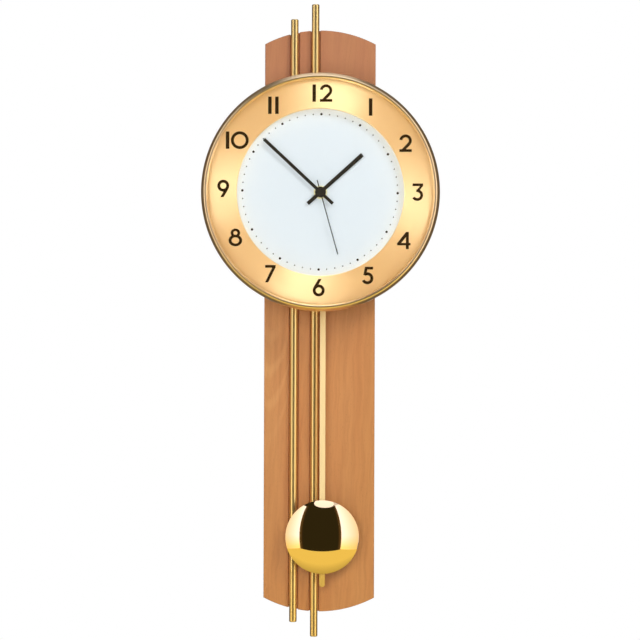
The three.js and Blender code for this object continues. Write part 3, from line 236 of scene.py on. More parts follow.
# %% [markdown]
# ## Finishes
# A material is a small tree of nodes that ends in a shader. One helper adds any node, sets its values and joins its
# links, so that each finish below reads as a recipe. Patterns are measured in metres from the object's origin, and
# every piece keeps its origin at zero, so a grain or a brushing stays at its real size and place. Colours are
# written as the hexadecimal numbers that a paint chart gives, and turned into the linear light that Blender uses.


# %% Colours and nodes
def colour(code):
    parts = [int(code[i:i + 2], 16) / 255 for i in (1, 3, 5)]
    return (*[p / 12.92 if p <= 0.04045 else ((p + 0.055) / 1.055) ** 2.4 for p in parts], 1.0)


def add(tree, kind, inputs=None, **settings):
    """Adds a node. A socket given as an input is linked, and anything else is set as its value."""
    node = tree.nodes.new(kind)
    for name, value in settings.items():
        setattr(node, name, value)
    for key, value in (inputs or {}).items():
        if isinstance(value, bpy.types.NodeSocket):
            tree.links.new(value, node.inputs[key])
        else:
            node.inputs[key].default_value = value
    return node


def new_finish(name, **constants):
    """A material, its tree and its shader, with the shader's constant sockets set."""
    material = bpy.data.materials.new(name)
    material.use_nodes = True
    shader = material.node_tree.nodes["Principled BSDF"]
    for socket, value in constants.items():
        shader.inputs[socket.replace("_", " ")].default_value = value
    return material, material.node_tree, shader


MIX_A, MIX_B, MIX_RESULT = 6, 7, 2

# %% [markdown]
# ### Beech veneer
# The board is beech, stained to a honey colour and sealed with a thin satin lacquer, so the eye gets a warm, quiet
# surface with a soft sheen. Its grain runs up the board: broad tone changes some 20 mm wide, streaks of about 3 mm
# that sway and lean a little, a pale arch or two where the growth rings surface, and the short dark flecks that mark
# beech, a millimetre or two wide. An image of wood would repeat and has no place here, so stretched noises do each
# of these at its own scale. The colour also turns darker and redder towards the top of the board. The fibres
# themselves are finer than a pixel, so they are drawn at 0.4 mm and only roughen the gloss.

# %% Beech
GRAIN_LEAN = 0.035
beech, tree, shader = new_finish("honey_beech", Coat_Weight=0.12, Coat_Roughness=0.3)
spot = add(tree, "ShaderNodeTexCoord").outputs["Object"]
parts = add(tree, "ShaderNodeSeparateXYZ", {"Vector": spot})
broad = add(tree, "ShaderNodeMapping", {"Vector": spot, "Scale": (45.0, 45.0, 5.0)}).outputs[0]
broad_noise = add(tree, "ShaderNodeTexNoise", {"Vector": broad, "Scale": 1.0, "Detail": 2.0}).outputs[0]
wave = add(tree, "ShaderNodeMapping", {"Vector": spot, "Scale": (70.0, 70.0, 26.0),
                                       "Location": (3.0, 0.0, 5.0)}).outputs[0]
wave_noise = add(tree, "ShaderNodeTexNoise", {"Vector": wave, "Scale": 1.0, "Detail": 2.0}).outputs[0]
swayed = add(tree, "ShaderNodeMath", {0: wave_noise, 1: 0.009, 2: parts.outputs[0]},
             operation="MULTIPLY_ADD").outputs[0]
leaning = add(tree, "ShaderNodeMath", {0: parts.outputs[2], 1: -GRAIN_LEAN, 2: swayed},
              operation="MULTIPLY_ADD").outputs[0]
grown = add(tree, "ShaderNodeCombineXYZ", {"X": leaning, "Y": parts.outputs[1], "Z": parts.outputs[2]}).outputs[0]
streak = add(tree, "ShaderNodeMapping", {"Vector": grown, "Scale": (330.0, 330.0, 15.0)}).outputs[0]
streak_noise = add(tree, "ShaderNodeTexNoise", {"Vector": streak, "Scale": 1.0, "Detail": 5.0,
                                                "Roughness": 0.6}).outputs[0]
fibre = add(tree, "ShaderNodeMapping", {"Vector": grown, "Scale": (2400.0, 2400.0, 40.0)}).outputs[0]
fibre_noise = add(tree, "ShaderNodeTexNoise", {"Vector": fibre, "Scale": 1.0, "Detail": 2.0}).outputs[0]
print("grain leans", round(math.degrees(math.atan(GRAIN_LEAN)), 1), "degrees")

# %% Arches where the growth rings surface
ARCH_X, ARCH_Z, ARCH_SQUEEZE = -0.048, -0.312, 0.28
ARCH_BEND, ARCH_RATE = -105.0, 170.0
across = add(tree, "ShaderNodeMath", {0: leaning, 1: ARCH_X - GRAIN_LEAN * ARCH_Z}, operation="SUBTRACT").outputs[0]
squared = add(tree, "ShaderNodeMath", {0: across, 1: across}, operation="MULTIPLY").outputs[0]
bowed = add(tree, "ShaderNodeMath", {0: squared, 1: ARCH_BEND, 2: parts.outputs[2]},
            operation="MULTIPLY_ADD").outputs[0]
uneven = add(tree, "ShaderNodeMath", {0: broad_noise, 1: 0.03, 2: bowed}, operation="MULTIPLY_ADD").outputs[0]
phase = add(tree, "ShaderNodeMath", {0: uneven, 1: ARCH_RATE}, operation="MULTIPLY").outputs[0]
waves = add(tree, "ShaderNodeMath", {0: phase}, operation="SINE").outputs[0]
arches = add(tree, "ShaderNodeMapRange", {"Value": waves, "From Min": 0.1, "From Max": 1.0}).outputs[0]
near_arch = add(tree, "ShaderNodeMapping", {"Vector": spot, "Location": (-ARCH_X, 0.0, -ARCH_SQUEEZE * ARCH_Z),
                                            "Scale": (1.0, 0.0, ARCH_SQUEEZE)}).outputs[0]
reach = add(tree, "ShaderNodeVectorMath", {0: near_arch}, operation="LENGTH").outputs["Value"]
local = add(tree, "ShaderNodeMapRange", {"Value": reach, "From Min": 0.008, "From Max": 0.021, "To Min": 0.28,
                                         "To Max": 0.0}).outputs[0]
arched = add(tree, "ShaderNodeMath", {0: arches, 1: local}, operation="MULTIPLY").outputs[0]
print("arches about", round(2 * math.pi / ARCH_RATE / MM), "mm apart up the board")

# %% Streaks, flecks, darker top and cut ends
streaks = add(tree, "ShaderNodeMapRange", {"Value": streak_noise, "From Min": 0.40, "From Max": 0.72,
                                           "To Max": 0.45}).outputs[0]
fleck = add(tree, "ShaderNodeMapping", {"Vector": grown, "Scale": (700.0, 700.0, 170.0)}).outputs[0]
cells = add(tree, "ShaderNodeTexVoronoi", {"Vector": fleck, "Scale": 1.0, "Randomness": 1.0}).outputs["Distance"]
flecks = add(tree, "ShaderNodeMapRange", {"Value": cells, "From Min": 0.08, "From Max": 0.24, "To Min": 0.22,
                                          "To Max": 0.0}).outputs[0]
# A darker, redder tone that rises with height towards the top of the board.
darker_top = add(tree, "ShaderNodeMapRange", {"Value": parts.outputs[2], "From Min": -0.14, "From Max": 0.01,
                                         "To Max": 0.42}).outputs[0]
normal = add(tree, "ShaderNodeNewGeometry").outputs["Normal"]
facing = add(tree, "ShaderNodeSeparateXYZ", {"Vector": normal}).outputs[2]
upward = add(tree, "ShaderNodeMath", {0: facing}, operation="ABSOLUTE").outputs[0]
cut_end = add(tree, "ShaderNodeMapRange", {"Value": upward, "From Min": 0.55, "From Max": 0.9,
                                           "To Max": 0.6}).outputs[0]

# %% [markdown]
# A stainer works in layers, and so does the colour: a ground in two tones, and then one tone after another, each
# laid over the last where its own pattern says. The arched ends come last, because cut fibres drink more stain.

# %% The stain, layer by layer
wood = add(tree, "ShaderNodeMix", {0: broad_noise, MIX_A: colour("#C87F42"), MIX_B: colour("#D69552")},
           data_type="RGBA").outputs[MIX_RESULT]
LAYERS = [(streaks, "#B16A36"), (arched, "#E8AA66"), (flecks, "#8C512A"), (darker_top, "#A76A5C"), (cut_end, "#9C6238")]
for share, tone in LAYERS:
    wood = add(tree, "ShaderNodeMix", {0: share, MIX_A: wood, MIX_B: colour(tone)},
               data_type="RGBA").outputs[MIX_RESULT]
tree.links.new(wood, shader.inputs["Base Color"])
gloss = add(tree, "ShaderNodeMapRange", {"Value": streak_noise, "To Min": 0.38, "To Max": 0.52}).outputs[0]
tree.links.new(gloss, shader.inputs["Roughness"])
relief = add(tree, "ShaderNodeBump", {"Height": fibre_noise, "Strength": 0.12, "Distance": 0.00006}).outputs[0]
tree.links.new(relief, shader.inputs["Normal"])
print("honey_beech:", len(tree.nodes), "nodes,", len(LAYERS), "layers of stain")

# %% [markdown]
# ### Metals
# Most of the metals share one recipe: a metallic shader whose colour is what the metal does to white light, and a
# roughness that wanders a little, because hand polishing never leaves a perfectly even gloss. What tells them apart
# is that gloss and the way the polishing runs. Clear lacquer over brass scatters a little of the light, so the
# lacquered ones are not quite fully metallic. Polishing marks are hundredths of a millimetre wide, far under a
# pixel, so the patterns are drawn at half a millimetre to 5 mm, where they can be seen at all.


# %% A polished metal
def metal(name, base, low, high, grain, bump=0.0, **constants):
    """A metal whose roughness runs from low to high over a noise with the grain's scale per metre."""
    material, tree, shader = new_finish(name, **{"Metallic": 1.0, "Base_Color": colour(base), **constants})
    spot = add(tree, "ShaderNodeTexCoord").outputs["Object"]
    grained = add(tree, "ShaderNodeMapping", {"Vector": spot, "Scale": grain}).outputs[0]
    noise = add(tree, "ShaderNodeTexNoise", {"Vector": grained, "Scale": 1.0, "Detail": 3.0}).outputs[0]
    rough = add(tree, "ShaderNodeMapRange", {"Value": noise, "From Min": 0.3, "From Max": 0.7, "To Min": low,
                                             "To Max": high}).outputs[0]
    tree.links.new(rough, shader.inputs["Roughness"])
    if bump:
        relief = add(tree, "ShaderNodeBump", {"Height": noise, "Strength": bump, "Distance": 0.00002}).outputs[0]
        tree.links.new(relief, shader.inputs["Normal"])
    return material


# Drawn brass, polished lengthways: long upright lights with a dark core, a little softened by lacquer.
rod_brass = metal("drawn_brass", "#FBDB97", 0.30, 0.33, (200.0, 200.0, 8.0), Metallic=0.92)
# Spun brass, buffed to a mirror: it shows the studio itself, only faintly clouded.
bob_brass = metal("mirror_brass", "#E0C6A8", 0.03, 0.06, (90.0, 90.0, 90.0))
# Gilt plate under clear lacquer: broad creamy lights without hard edges.
gilt = metal("gilt_bezel", "#F6DAB4", 0.28, 0.32, (200.0, 200.0, 200.0), Metallic=0.95)
# Zinc plate on pressed steel: a grey, slightly crystalline sheen.
zinc = metal("zinc_plate", "#B9BDC2", 0.28, 0.40, (700.0, 700.0, 700.0), 0.1)
# Pale turned brass under thick lacquer: hardly a mirror any more, more like warm ivory.
nut_brass = metal("turned_brass", "#FBF6C0", 0.25, 0.35, (1500.0, 1500.0, 1500.0), Metallic=0.2)
# Rolled spring steel: cool and bright, with lines along the roll.
spring_steel = metal("spring_steel", "#AEB3B9", 0.22, 0.34, (1800.0, 1800.0, 400.0))
# Annealed iron sheet: dull, with the scale of the furnace.
iron = metal("annealed_iron", "#8E8B88", 0.40, 0.55, (900.0, 900.0, 900.0), 0.1)
print("metals made")

# %% [markdown]
# ### The pendulum rod's lacquer
# The flat pendulum rod is rolled brass, dipped in a pale gilt lacquer. The lacquer hides most of the metal's shine,
# so the eye sees an even cream. Below the bob the colour turns a deep gold: painted shade for the bob's shadow,
# tinted by the golden light from below. Height alone decides that tint. The rolling left upright lines, drawn here
# at 0.4 mm so that they can show.

# %% Gilt lacquer with painted shade towards the tip
SHADE_STARTS, SHADE_FULL_FROM = -0.43, -0.515
strip_brass, tree, shader = new_finish("gilt_lacquer", Metallic=0.1, Roughness=0.45)
spot = add(tree, "ShaderNodeTexCoord").outputs["Object"]
height = add(tree, "ShaderNodeSeparateXYZ", {"Vector": spot}).outputs[2]
# Painted shade: from under the bob to the tip the colour turns deep gold, for the bob's shadow and the golden light
# below.
tip_shade = add(tree, "ShaderNodeMapRange", {"Value": height, "From Min": SHADE_STARTS, "From Max": SHADE_FULL_FROM},
             interpolation_type="SMOOTHSTEP").outputs[0]
rolled = add(tree, "ShaderNodeMapping", {"Vector": spot, "Scale": (2500.0, 2500.0, 50.0)}).outputs[0]
lines = add(tree, "ShaderNodeTexNoise", {"Vector": rolled, "Scale": 1.0, "Detail": 3.0}).outputs[0]
pale = add(tree, "ShaderNodeMix", {0: lines, MIX_A: colour("#FFDA98"), MIX_B: colour("#FFE0A2")},
           data_type="RGBA").outputs[MIX_RESULT]
# The deep gold #DCAE49 is the painted shade colour of the tip.
deep = add(tree, "ShaderNodeMix", {0: tip_shade, MIX_A: pale, MIX_B: colour("#DCAE49")},
           data_type="RGBA").outputs[MIX_RESULT]
tree.links.new(deep, shader.inputs["Base Color"])
relief = add(tree, "ShaderNodeBump", {"Height": lines, "Strength": 0.1, "Distance": 0.00002}).outputs[0]
tree.links.new(relief, shader.inputs["Normal"])
print("gilt_lacquer:", len(tree.nodes), "nodes")

# %% [markdown]
# ### The brushed hour ring
# The ring is gilt sheet, brushed in circles while it turned. Each fine groove reflects light only across itself, so
# a lamp shows as a bright wedge that points at the middle. That is anisotropy: the shader needs the direction in
# which light is spread, which is the line from the dial's axis, square to the grooves. It follows from the place
# alone, so it holds from every side. The eye gets satin gold with soft bright wedges. A noise along the radius adds
# the lines of the brushing, drawn about 0.3 mm apart, since the real ones are too fine to show.

# %% Brushed gold
ring_gold, tree, shader = new_finish("brushed_gold", Metallic=1.0, Anisotropic=0.9)
spot = add(tree, "ShaderNodeTexCoord").outputs["Object"]
from_axis = add(tree, "ShaderNodeVectorMath", {0: spot, 1: place(*DIAL, RING_FRONT)}, operation="SUBTRACT").outputs[0]
across = add(tree, "ShaderNodeVectorMath", {0: from_axis, 1: (1.0, 0.0, 1.0)}, operation="MULTIPLY").outputs[0]
spread = add(tree, "ShaderNodeVectorMath", {0: across}, operation="NORMALIZE").outputs[0]
tree.links.new(spread, shader.inputs["Tangent"])
radius = add(tree, "ShaderNodeVectorMath", {0: from_axis}, operation="LENGTH").outputs["Value"]
drift = add(tree, "ShaderNodeTexNoise", {"Vector": from_axis, "Scale": 9.0, "Detail": 1.0}).outputs[0]
shifted = add(tree, "ShaderNodeMath", {0: drift, 1: 0.002, 2: radius}, operation="MULTIPLY_ADD").outputs[0]
lines = add(tree, "ShaderNodeTexNoise", {"W": shifted, "Scale": 3200.0, "Detail": 3.0, "Roughness": 0.7},
            noise_dimensions="1D").outputs[0]
tone = add(tree, "ShaderNodeMapRange", {"Value": lines, "From Min": 0.3, "From Max": 0.7}).outputs[0]
gold = add(tree, "ShaderNodeMix", {0: tone, MIX_A: colour("#F8DCA4"), MIX_B: colour("#FFE9BC")},
           data_type="RGBA").outputs[MIX_RESULT]
tree.links.new(gold, shader.inputs["Base Color"])
rough = add(tree, "ShaderNodeMapRange", {"Value": lines, "To Min": 0.40, "To Max": 0.50}).outputs[0]
tree.links.new(rough, shader.inputs["Roughness"])
print("brushed_gold:", len(tree.nodes), "nodes")

# %% [markdown]
# ### Paint, print and plastic
# The dial is sprayed a matt cool white, the hands and the print are black, and the movement is moulded in dark
# plastic with a fine spark-eroded skin. Each gets the small unevenness of its own process: the orange peel of
# spray, the pinholes of ink, the sandy skin of a mould. These skins are finer than a pixel in life and are drawn at
# 0.3 to 1.5 mm. The pieces behind the glass have no gloss of their own, because the pane already takes it away.


# %% An even finish with a skin
def skinned(name, base, other, rough, scale, bump, **constants):
    """A paint, plastic or paper whose colour moves a little between two tones over a skin of that scale."""
    material, tree, shader = new_finish(name, Roughness=rough, **constants)
    spot = add(tree, "ShaderNodeTexCoord").outputs["Object"]
    cloud = add(tree, "ShaderNodeTexNoise", {"Vector": spot, "Scale": 35.0, "Detail": 2.0}).outputs[0]
    tone = add(tree, "ShaderNodeMix", {0: cloud, MIX_A: colour(base), MIX_B: colour(other)},
               data_type="RGBA").outputs[MIX_RESULT]
    tree.links.new(tone, shader.inputs["Base Color"])
    skin = add(tree, "ShaderNodeTexNoise", {"Vector": spot, "Scale": scale, "Detail": 2.0}).outputs[0]
    relief = add(tree, "ShaderNodeBump", {"Height": skin, "Strength": bump, "Distance": 0.00003}).outputs[0]
    tree.links.new(relief, shader.inputs["Normal"])
    return material


# Sprayed matt paint: an even cool white that stays white from every side.
dial_white = skinned("dial_paint", "#F1F7FA", "#EDF4F8", 0.6, 1800.0, 0.08, Specular_IOR_Level=0.0)
# Stoved enamel: a deep blue-black.
hand_black = skinned("hand_enamel", "#0F1C1F", "#142326", 0.4, 1500.0, 0.08, Specular_IOR_Level=0.0)
# Screen-printed ink on gold, which shows through a trace of brown.
print_ink = skinned("printing_ink", "#0B0501", "#100904", 0.6, 3000.0, 0.15, Specular_IOR_Level=0.0)
# Ink printed on white paint, a cooler black.
dot_ink = skinned("dial_ink", "#101418", "#161B20", 0.6, 3000.0, 0.1, Specular_IOR_Level=0.0)
# Moulded ABS with a sandy skin: dark grey that hardly shines.
housing_plastic = skinned("moulded_housing", "#242629", "#2B2D31", 0.55, 1200.0, 0.5)
# Moulded acetal: milky white with a waxy light.
wheel_plastic = skinned("wheel_acetal", "#ECE9DE", "#E4E0D2", 0.42, 900.0, 0.1)
# Die-cut rubber: soft black without a highlight.
rubber = skinned("black_rubber", "#1B1B1D", "#232325", 0.85, 1400.0, 0.4)
# Moulded plastic, coloured through: a small clear red.
red_plastic = skinned("button_plastic", "#B23A32", "#A8342D", 0.38, 900.0, 0.1)
# Nickel plate over a sintered magnet: bright but slightly pebbled.
magnet_skin = skinned("nickel_magnet", "#8F9296", "#A0A3A7", 0.3, 900.0, 0.1, Metallic=1.0)
print("finishes so far:", len(bpy.data.materials))

# %% [markdown]
# ### Glass
# The dial is covered by a flat pane of float glass with a coating that keeps its reflections weak, so the eye looks
# straight through it and sees only a faint sheen at a slant. The pane steps aside for the lamps' own rays and for
# light that the dial scatters, which would otherwise be lost in noise, so the dial is lit as plainly as it is in
# life. Light Path asks what kind of ray has arrived, and a Mix Shader picks the way through.

# %% Clear glass
clear_glass, tree, shader = new_finish("clear_glass", Base_Color=colour("#FCFDFD"), Roughness=0.0, IOR=1.5,
                                       Specular_IOR_Level=0.1, Transmission_Weight=1.0)
path = add(tree, "ShaderNodeLightPath")
open_air = add(tree, "ShaderNodeBsdfTransparent", {"Color": colour("#FDFEFE")}).outputs[0]
soft = add(tree, "ShaderNodeMixShader", {0: path.outputs["Is Diffuse Ray"], 1: shader.outputs[0],
                                         2: open_air}).outputs[0]
lit = add(tree, "ShaderNodeMixShader", {0: path.outputs["Is Shadow Ray"], 1: soft, 2: open_air}).outputs[0]
tree.links.new(lit, tree.nodes["Material Output"].inputs["Surface"])
print("clear_glass and", len(bpy.data.materials), "materials in all")

# %% [markdown]
# ## The back board
# One board carries everything. It is 118 mm wide, its ends are shallow arches and its edges are just broken with
# sandpaper, which is what catches the light round it. Bevelling a plain outline gives that edge. The openings come
# after it, so that they stay crisp: a window for the battery, a recess for the hanger with a pocket for the nail's
# head, countersunk holes for the screws that come from behind, and a shallow channel behind each rod. A channel
# swallows light, so that the rod gets the dark line beside it that makes it stand out from the wood.

# %% Board
half, end_radius, top, bottom = 59.0, 125.0, 60.0, -560.0
sweep = math.degrees(math.asin(half / end_radius))
outline = (bend(end_radius, 0, top - end_radius, 90 - sweep, 90 + sweep, 40)
           + bend(end_radius, 0, bottom + end_radius, -90 - sweep, -90 + sweep, 40))
board = flat_piece("beech_board", [outline], [], 0.0, BOARD_THICK, beech, edge=0.8, steps=4, rear_edge=True)
print("board:", 2 * half, "mm wide,", top - bottom, "mm tall")


# %% Where the screws and posts are
def countersink(x, z, head, shank, end):
    profile = [(0, -1), (head + 0.3, -1), (head + 0.3, 0.35), (shank + 0.3, 0.35 + head - shank),
               (shank + 0.3, end), (0, end)]
    return turned("tool", profile, (x, z), beech, 32)


HANGER_SCREWS = [(-16.0, -9.0), (16.0, -9.0)]
POSTS = {(side, end): (ROD_X[side], z) for side in ROD_X for end, z in (("top", 28.0), ("bottom", -505.0))}
SPACERS = {(end, side): (DIAL[0] + 45.0 * sx, DIAL[1] + 78.0 * sz)
           for end, sz in (("upper", 1), ("lower", -1)) for side, sx in (("left", -1), ("right", 1))}
print("posts:", POSTS)

# %% What is cut from the board
CHANNEL_HALF, CHANNEL_FLOOR, PAST_FRONT = 5.4, 9.6, BOARD_THICK + 1.0
tools = [slab(box_outline(17.5, 50.5, -149.0, -81.0, 4.0), -1.0, PAST_FRONT, beech),
         slab(box_outline(-22.3, 22.3, -22.3, 8.3, 3.0), -1.0, 1.5, beech),
         slab(stadium(4.9, -13.0, 0.0), 1.0, 8.0, beech)]
tools += [plug(1.8, 1.0, 12.8, spot, beech) for spot in HANGER_SCREWS]
for x, z in POSTS.values():
    tools.append(countersink(x, z, 3.0, 1.5, 16.2))
    tools.append(plug(2.8, 8.0, PAST_FRONT, (x, z), beech))
for x, z in SPACERS.values():
    tools.append(countersink(x, z, 4.0, 2.0, PAST_FRONT))
for x in ROD_X.values():
    tools.append(slab(box_outline(x - CHANNEL_HALF, x + CHANNEL_HALF, -600.0, 100.0), CHANNEL_FLOOR, PAST_FRONT, beech))
for tool in tools:
    worked_with(board, tool, "DIFFERENCE")
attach(board, "case")
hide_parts("back_board")
print("beech_board:", len(board.data.polygons), "faces")

# %% [markdown]
# ## The hanger
# A steel plate lies in the recess. The head of the nail goes through its round hole and the clock slides down on
# the slot. It is punched from sheet, so its outline is flat with a slightly rounded edge.

# %% Hanger plate
hanger = flat_piece("steel_hanger", [box_outline(-22, 22, -22, 8, 3.0)],
                    [stadium(2.1, -13.0, -2.1), disc(4.6, 0, -13)], 0.0, 1.5, zinc, edge=0.2, rear_edge=True)
for x, z in HANGER_SCREWS:
    worked_with(hanger, countersink(x, z, 3.0, 1.5, 4.0), "DIFFERENCE")
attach(hanger, "case")
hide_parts("hanger_plate")
print("steel_hanger:", len(hanger.data.polygons), "faces")

# %% [markdown]
# ## Screws
# Ten screws of three lengths hold the clock together, all countersunk, with a cross for the driver. A screw that
# repeats is work for Geometry Nodes: the tree builds one screw from its sizes, cuts the cross, and puts a copy on
# every point of the mesh that it is given. The copies are realised at the end, so that they are real faces.


# %% A tree that makes screws
def new_tree(name, sizes):
    """An empty Geometry Nodes tree with named inputs, and the node that gives them."""
    tree = bpy.data.node_groups.new(name, "GeometryNodeTree")
    tree.interface.new_socket("Geometry", in_out="INPUT", socket_type="NodeSocketGeometry")
    for label, kind in sizes.items():
        tree.interface.new_socket(label, in_out="INPUT", socket_type="NodeSocket" + kind)
    tree.interface.new_socket("Geometry", in_out="OUTPUT", socket_type="NodeSocketGeometry")
    return tree, add(tree, "NodeGroupInput").outputs


def made_by(tree, name, points, edges, values):
    """A piece made by a tree from points in metres, as a plain mesh."""
    mesh = bpy.data.meshes.new(name)
    mesh.from_pydata(points, edges, [])
    piece = bpy.data.objects.new(name, mesh)
    scene.collection.objects.link(piece)
    maker = piece.modifiers.new("maker", "NODES")
    maker.node_group = tree
    for socket in tree.interface.items_tree:
        if socket.in_out == "INPUT" and socket.name in values:
            maker[socket.identifier] = values[socket.name]
    bpy.context.view_layer.update()
    made = bpy.data.meshes.new_from_object(piece.evaluated_get(bpy.context.evaluated_depsgraph_get()))
    piece.modifiers.remove(maker)
    piece.data = made
    made.name = name
    print(name + ":", len(made.polygons), "faces")
    return piece


# %% The screw itself
screw_tree, given = new_tree("countersunk_screws", {"Head Radius": "Float", "Shank Radius": "Float",
                                                    "Length": "Float", "Finish": "Material"})
cone_depth = add(screw_tree, "ShaderNodeMath", {0: given["Head Radius"], 1: given["Shank Radius"]},
                 operation="SUBTRACT")
cone = add(screw_tree, "GeometryNodeMeshCone", {"Vertices": 48, "Radius Top": given["Shank Radius"],
                                                "Radius Bottom": given["Head Radius"], "Depth": cone_depth.outputs[0]})
shank = add(screw_tree, "GeometryNodeMeshCylinder", {"Vertices": 24, "Radius": given["Shank Radius"],
                                                     "Depth": given["Length"]})
half_length = add(screw_tree, "ShaderNodeMath", {0: given["Length"], 1: 0.5}, operation="MULTIPLY").outputs[0]
lift = add(screw_tree, "ShaderNodeCombineXYZ", {"Z": half_length}).outputs[0]
raised = add(screw_tree, "GeometryNodeTransform", {"Geometry": shank.outputs[0], "Translation": lift}).outputs[0]
body = add(screw_tree, "GeometryNodeMeshBoolean", {"Mesh 2": cone.outputs[0]}, operation="UNION", solver="EXACT")
screw_tree.links.new(raised, body.inputs["Mesh 2"])

# %% The cross recess and the copies
arm = add(screw_tree, "ShaderNodeMath", {0: given["Head Radius"], 1: 1.15}, operation="MULTIPLY").outputs[0]
arm_width = add(screw_tree, "ShaderNodeMath", {0: given["Head Radius"], 1: 0.26}, operation="MULTIPLY").outputs[0]
deep = add(screw_tree, "ShaderNodeMath", {0: given["Head Radius"], 1: 0.8}, operation="MULTIPLY").outputs[0]
cross = [add(screw_tree, "GeometryNodeMeshCube", {"Size": add(screw_tree, "ShaderNodeCombineXYZ", {
    "X": size[0], "Y": size[1], "Z": deep}).outputs[0]}).outputs[0] for size in ((arm, arm_width), (arm_width, arm))]
recessed = add(screw_tree, "GeometryNodeMeshBoolean", {"Mesh 1": body.outputs[0], "Mesh 2": cross[0]},
               operation="DIFFERENCE", solver="EXACT")
screw_tree.links.new(cross[1], recessed.inputs["Mesh 2"])
copies = add(screw_tree, "GeometryNodeInstanceOnPoints", {
    "Points": given["Geometry"], "Instance": recessed.outputs[0], "Rotation": (math.pi / 2, 0.35, 0.0)}).outputs[0]
real = add(screw_tree, "GeometryNodeRealizeInstances", {"Geometry": copies}).outputs[0]
coated = add(screw_tree, "GeometryNodeSetMaterial", {"Geometry": real, "Material": given["Finish"]}).outputs[0]
add(screw_tree, "NodeGroupOutput", {"Geometry": coated})

# %% Three sets of screws
SCREW_SINK, END_SPACE = 0.2, 0.2
SCREW_SETS = {
    "hanger_screws": (3.0, 1.5, HANGER_SCREWS, ["hanger_screw_left", "hanger_screw_right"]),
    "rod_screws": (3.0, 1.5, POSTS.values(), [f"rod_screw_{a}_{b}" for a, b in POSTS]),
    "case_screws": (4.0, 2.0, SPACERS.values(), [f"case_screw_{a}_{b}" for a, b in SPACERS]),
}
for name, (head, shank_radius, spots, nodes) in SCREW_SETS.items():
    low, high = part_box(nodes[0])
    length = -low[1] / MM - END_SPACE
    screws = made_by(screw_tree, name, [place(x, z, SCREW_SINK) for x, z in spots], [], {
        "Head Radius": head * MM, "Shank Radius": shank_radius * MM, "Length": length * MM, "Finish": zinc})
    screws.data.set_sharp_from_angle(angle=math.radians(30))
    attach(screws, "case")
    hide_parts(*nodes)
    print(name, "length", round(length, 2), "mm")

# %% [markdown]
# ## The brass rods and their posts
# Two rods of 8 mm stand 2 mm clear of the board on short posts. A lathe profile with softly rounded ends is all
# they need, and 96 sides keep the upright reflections straight. A post's end is hollowed to hug the rod, which
# takes a cut with a cylinder that is a little wider than the rod, and its foot reaches past the channel into the
# board.

# %% Rods
ROUNDING = 1.2
for side, (low, high) in {"left": (-570.5, 71.0), "right": (-586.0, 87.0)}.items():
    core = ROD_RADIUS - ROUNDING
    profile = [(0, low), *bend(ROUNDING, core, low + ROUNDING, -90, 0),
               *bend(ROUNDING, core, high - ROUNDING, 0, 90), (0, high)]
    rod = turned(f"polished_rod_{side}", profile, (ROD_X[side], ROD_DEPTH), rod_brass, 96, upright=True)
    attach(rod, "case")
    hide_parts(f"brass_rod_{side}")
    print(rod.name, "is", high - low, "mm long")

# %% Posts
HUG_RADIUS = ROD_RADIUS + 0.3
for (side, end), (x, z) in POSTS.items():
    post = turned(f"saddle_post_{side}_{end}", [(0, 8.3), (2.2, 8.3), (2.5, 8.6), (2.5, 20.0), (0, 20.0)], (x, z),
                  nut_brass, 48)
    worked_with(post, plug(HUG_RADIUS, z - 9, z + 9, (x, ROD_DEPTH), nut_brass, 96, upright=True), "DIFFERENCE")
    worked_with(post, plug(1.8, 7.0, 14.0, (x, z), nut_brass), "DIFFERENCE")
    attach(post, "case")
    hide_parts(f"rod_post_{side}_{end}")
print("posts:", len(POSTS))

# %% [markdown]
# ## The case
# Four spacer tubes hold the case 24 mm in front of the board, which leaves room for the pendulum behind it. The pan
# is pressed from gilt sheet: a drum with a rounded rear corner and one step out, on which the dial rests. Its
# rear is cut away for the movement, and four bosses take the screws.

# %% Spacers
low, high = BOARD_THICK, PAN_REAR
for (end, side), (x, z) in SPACERS.items():
    profile = [(2.3, low + 0.2), (2.5, low), (5.7, low), (6, low + 0.3), (6, high - 0.3), (5.7, high), (2.5, high),
               (2.3, high - 0.2)]
    tube = turned(f"spacer_tube_{end}_{side}", profile, (x, z), nut_brass, 64)
    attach(tube, "case")
    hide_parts(f"case_spacer_{end}_{side}")
print("spacers:", len(SPACERS))

# %% Pan
profile = [(0, PAN_REAR), *bend(6, 110, 46, -90, 0, 12), (116, 61.0), *bend(0.3, 116.3, 61.0, 180, 90, 4),
           *bend(0.6, 121.0, 61.9, -90, 0, 4), (121.6, 73.7), (120.4, 73.7), (120.4, DIAL_REAR), (114.8, DIAL_REAR),
           *bend(4.8, 110, 46, 0, -90, 12), (0, 41.2)]
pan = turned("gilt_pan", profile, DIAL, gilt, 128)
for spot in SPACERS.values():
    boss = turned("tool", [(0, 40.6), (4, 40.6), (4, 47.0), (3.5, 47.5), (0, 47.5)], spot, gilt, 48)
    worked_with(pan, boss, "UNION")
window = box_outline(DIAL[0] - 31, DIAL[0] + 47, DIAL[1] - 37, DIAL[1] + 39, 4.0)
worked_with(pan, slab(window, PAN_REAR - 1.0, 42.2, gilt), "DIFFERENCE")
for spot in SPACERS.values():
    worked_with(pan, plug(2.3, PAN_REAR - 1.0, 46.7, spot, gilt), "DIFFERENCE")
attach(pan, "case")
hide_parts("case_pan")
print("gilt_pan:", len(pan.data.polygons), "faces")

# %% [markdown]
# ## The bezel
# The bezel is a bead of gilt metal with a skirt over the pan, the same all the way round, so its shape follows a
# rule: one profile swept along a circle. Geometry Nodes do exactly that with Curve to Mesh. The profile is drawn as
# a loop of edges about the crest of the bead, and the tree's inputs are the circle's radius and its steps. The bead
# falls gently inwards, where it mirrors the room as a wide pale band, and steeply outwards, where it mirrors only
# what stands beside the clock and so draws a thin dark outline. That needs 384 steps to be free of flecks.

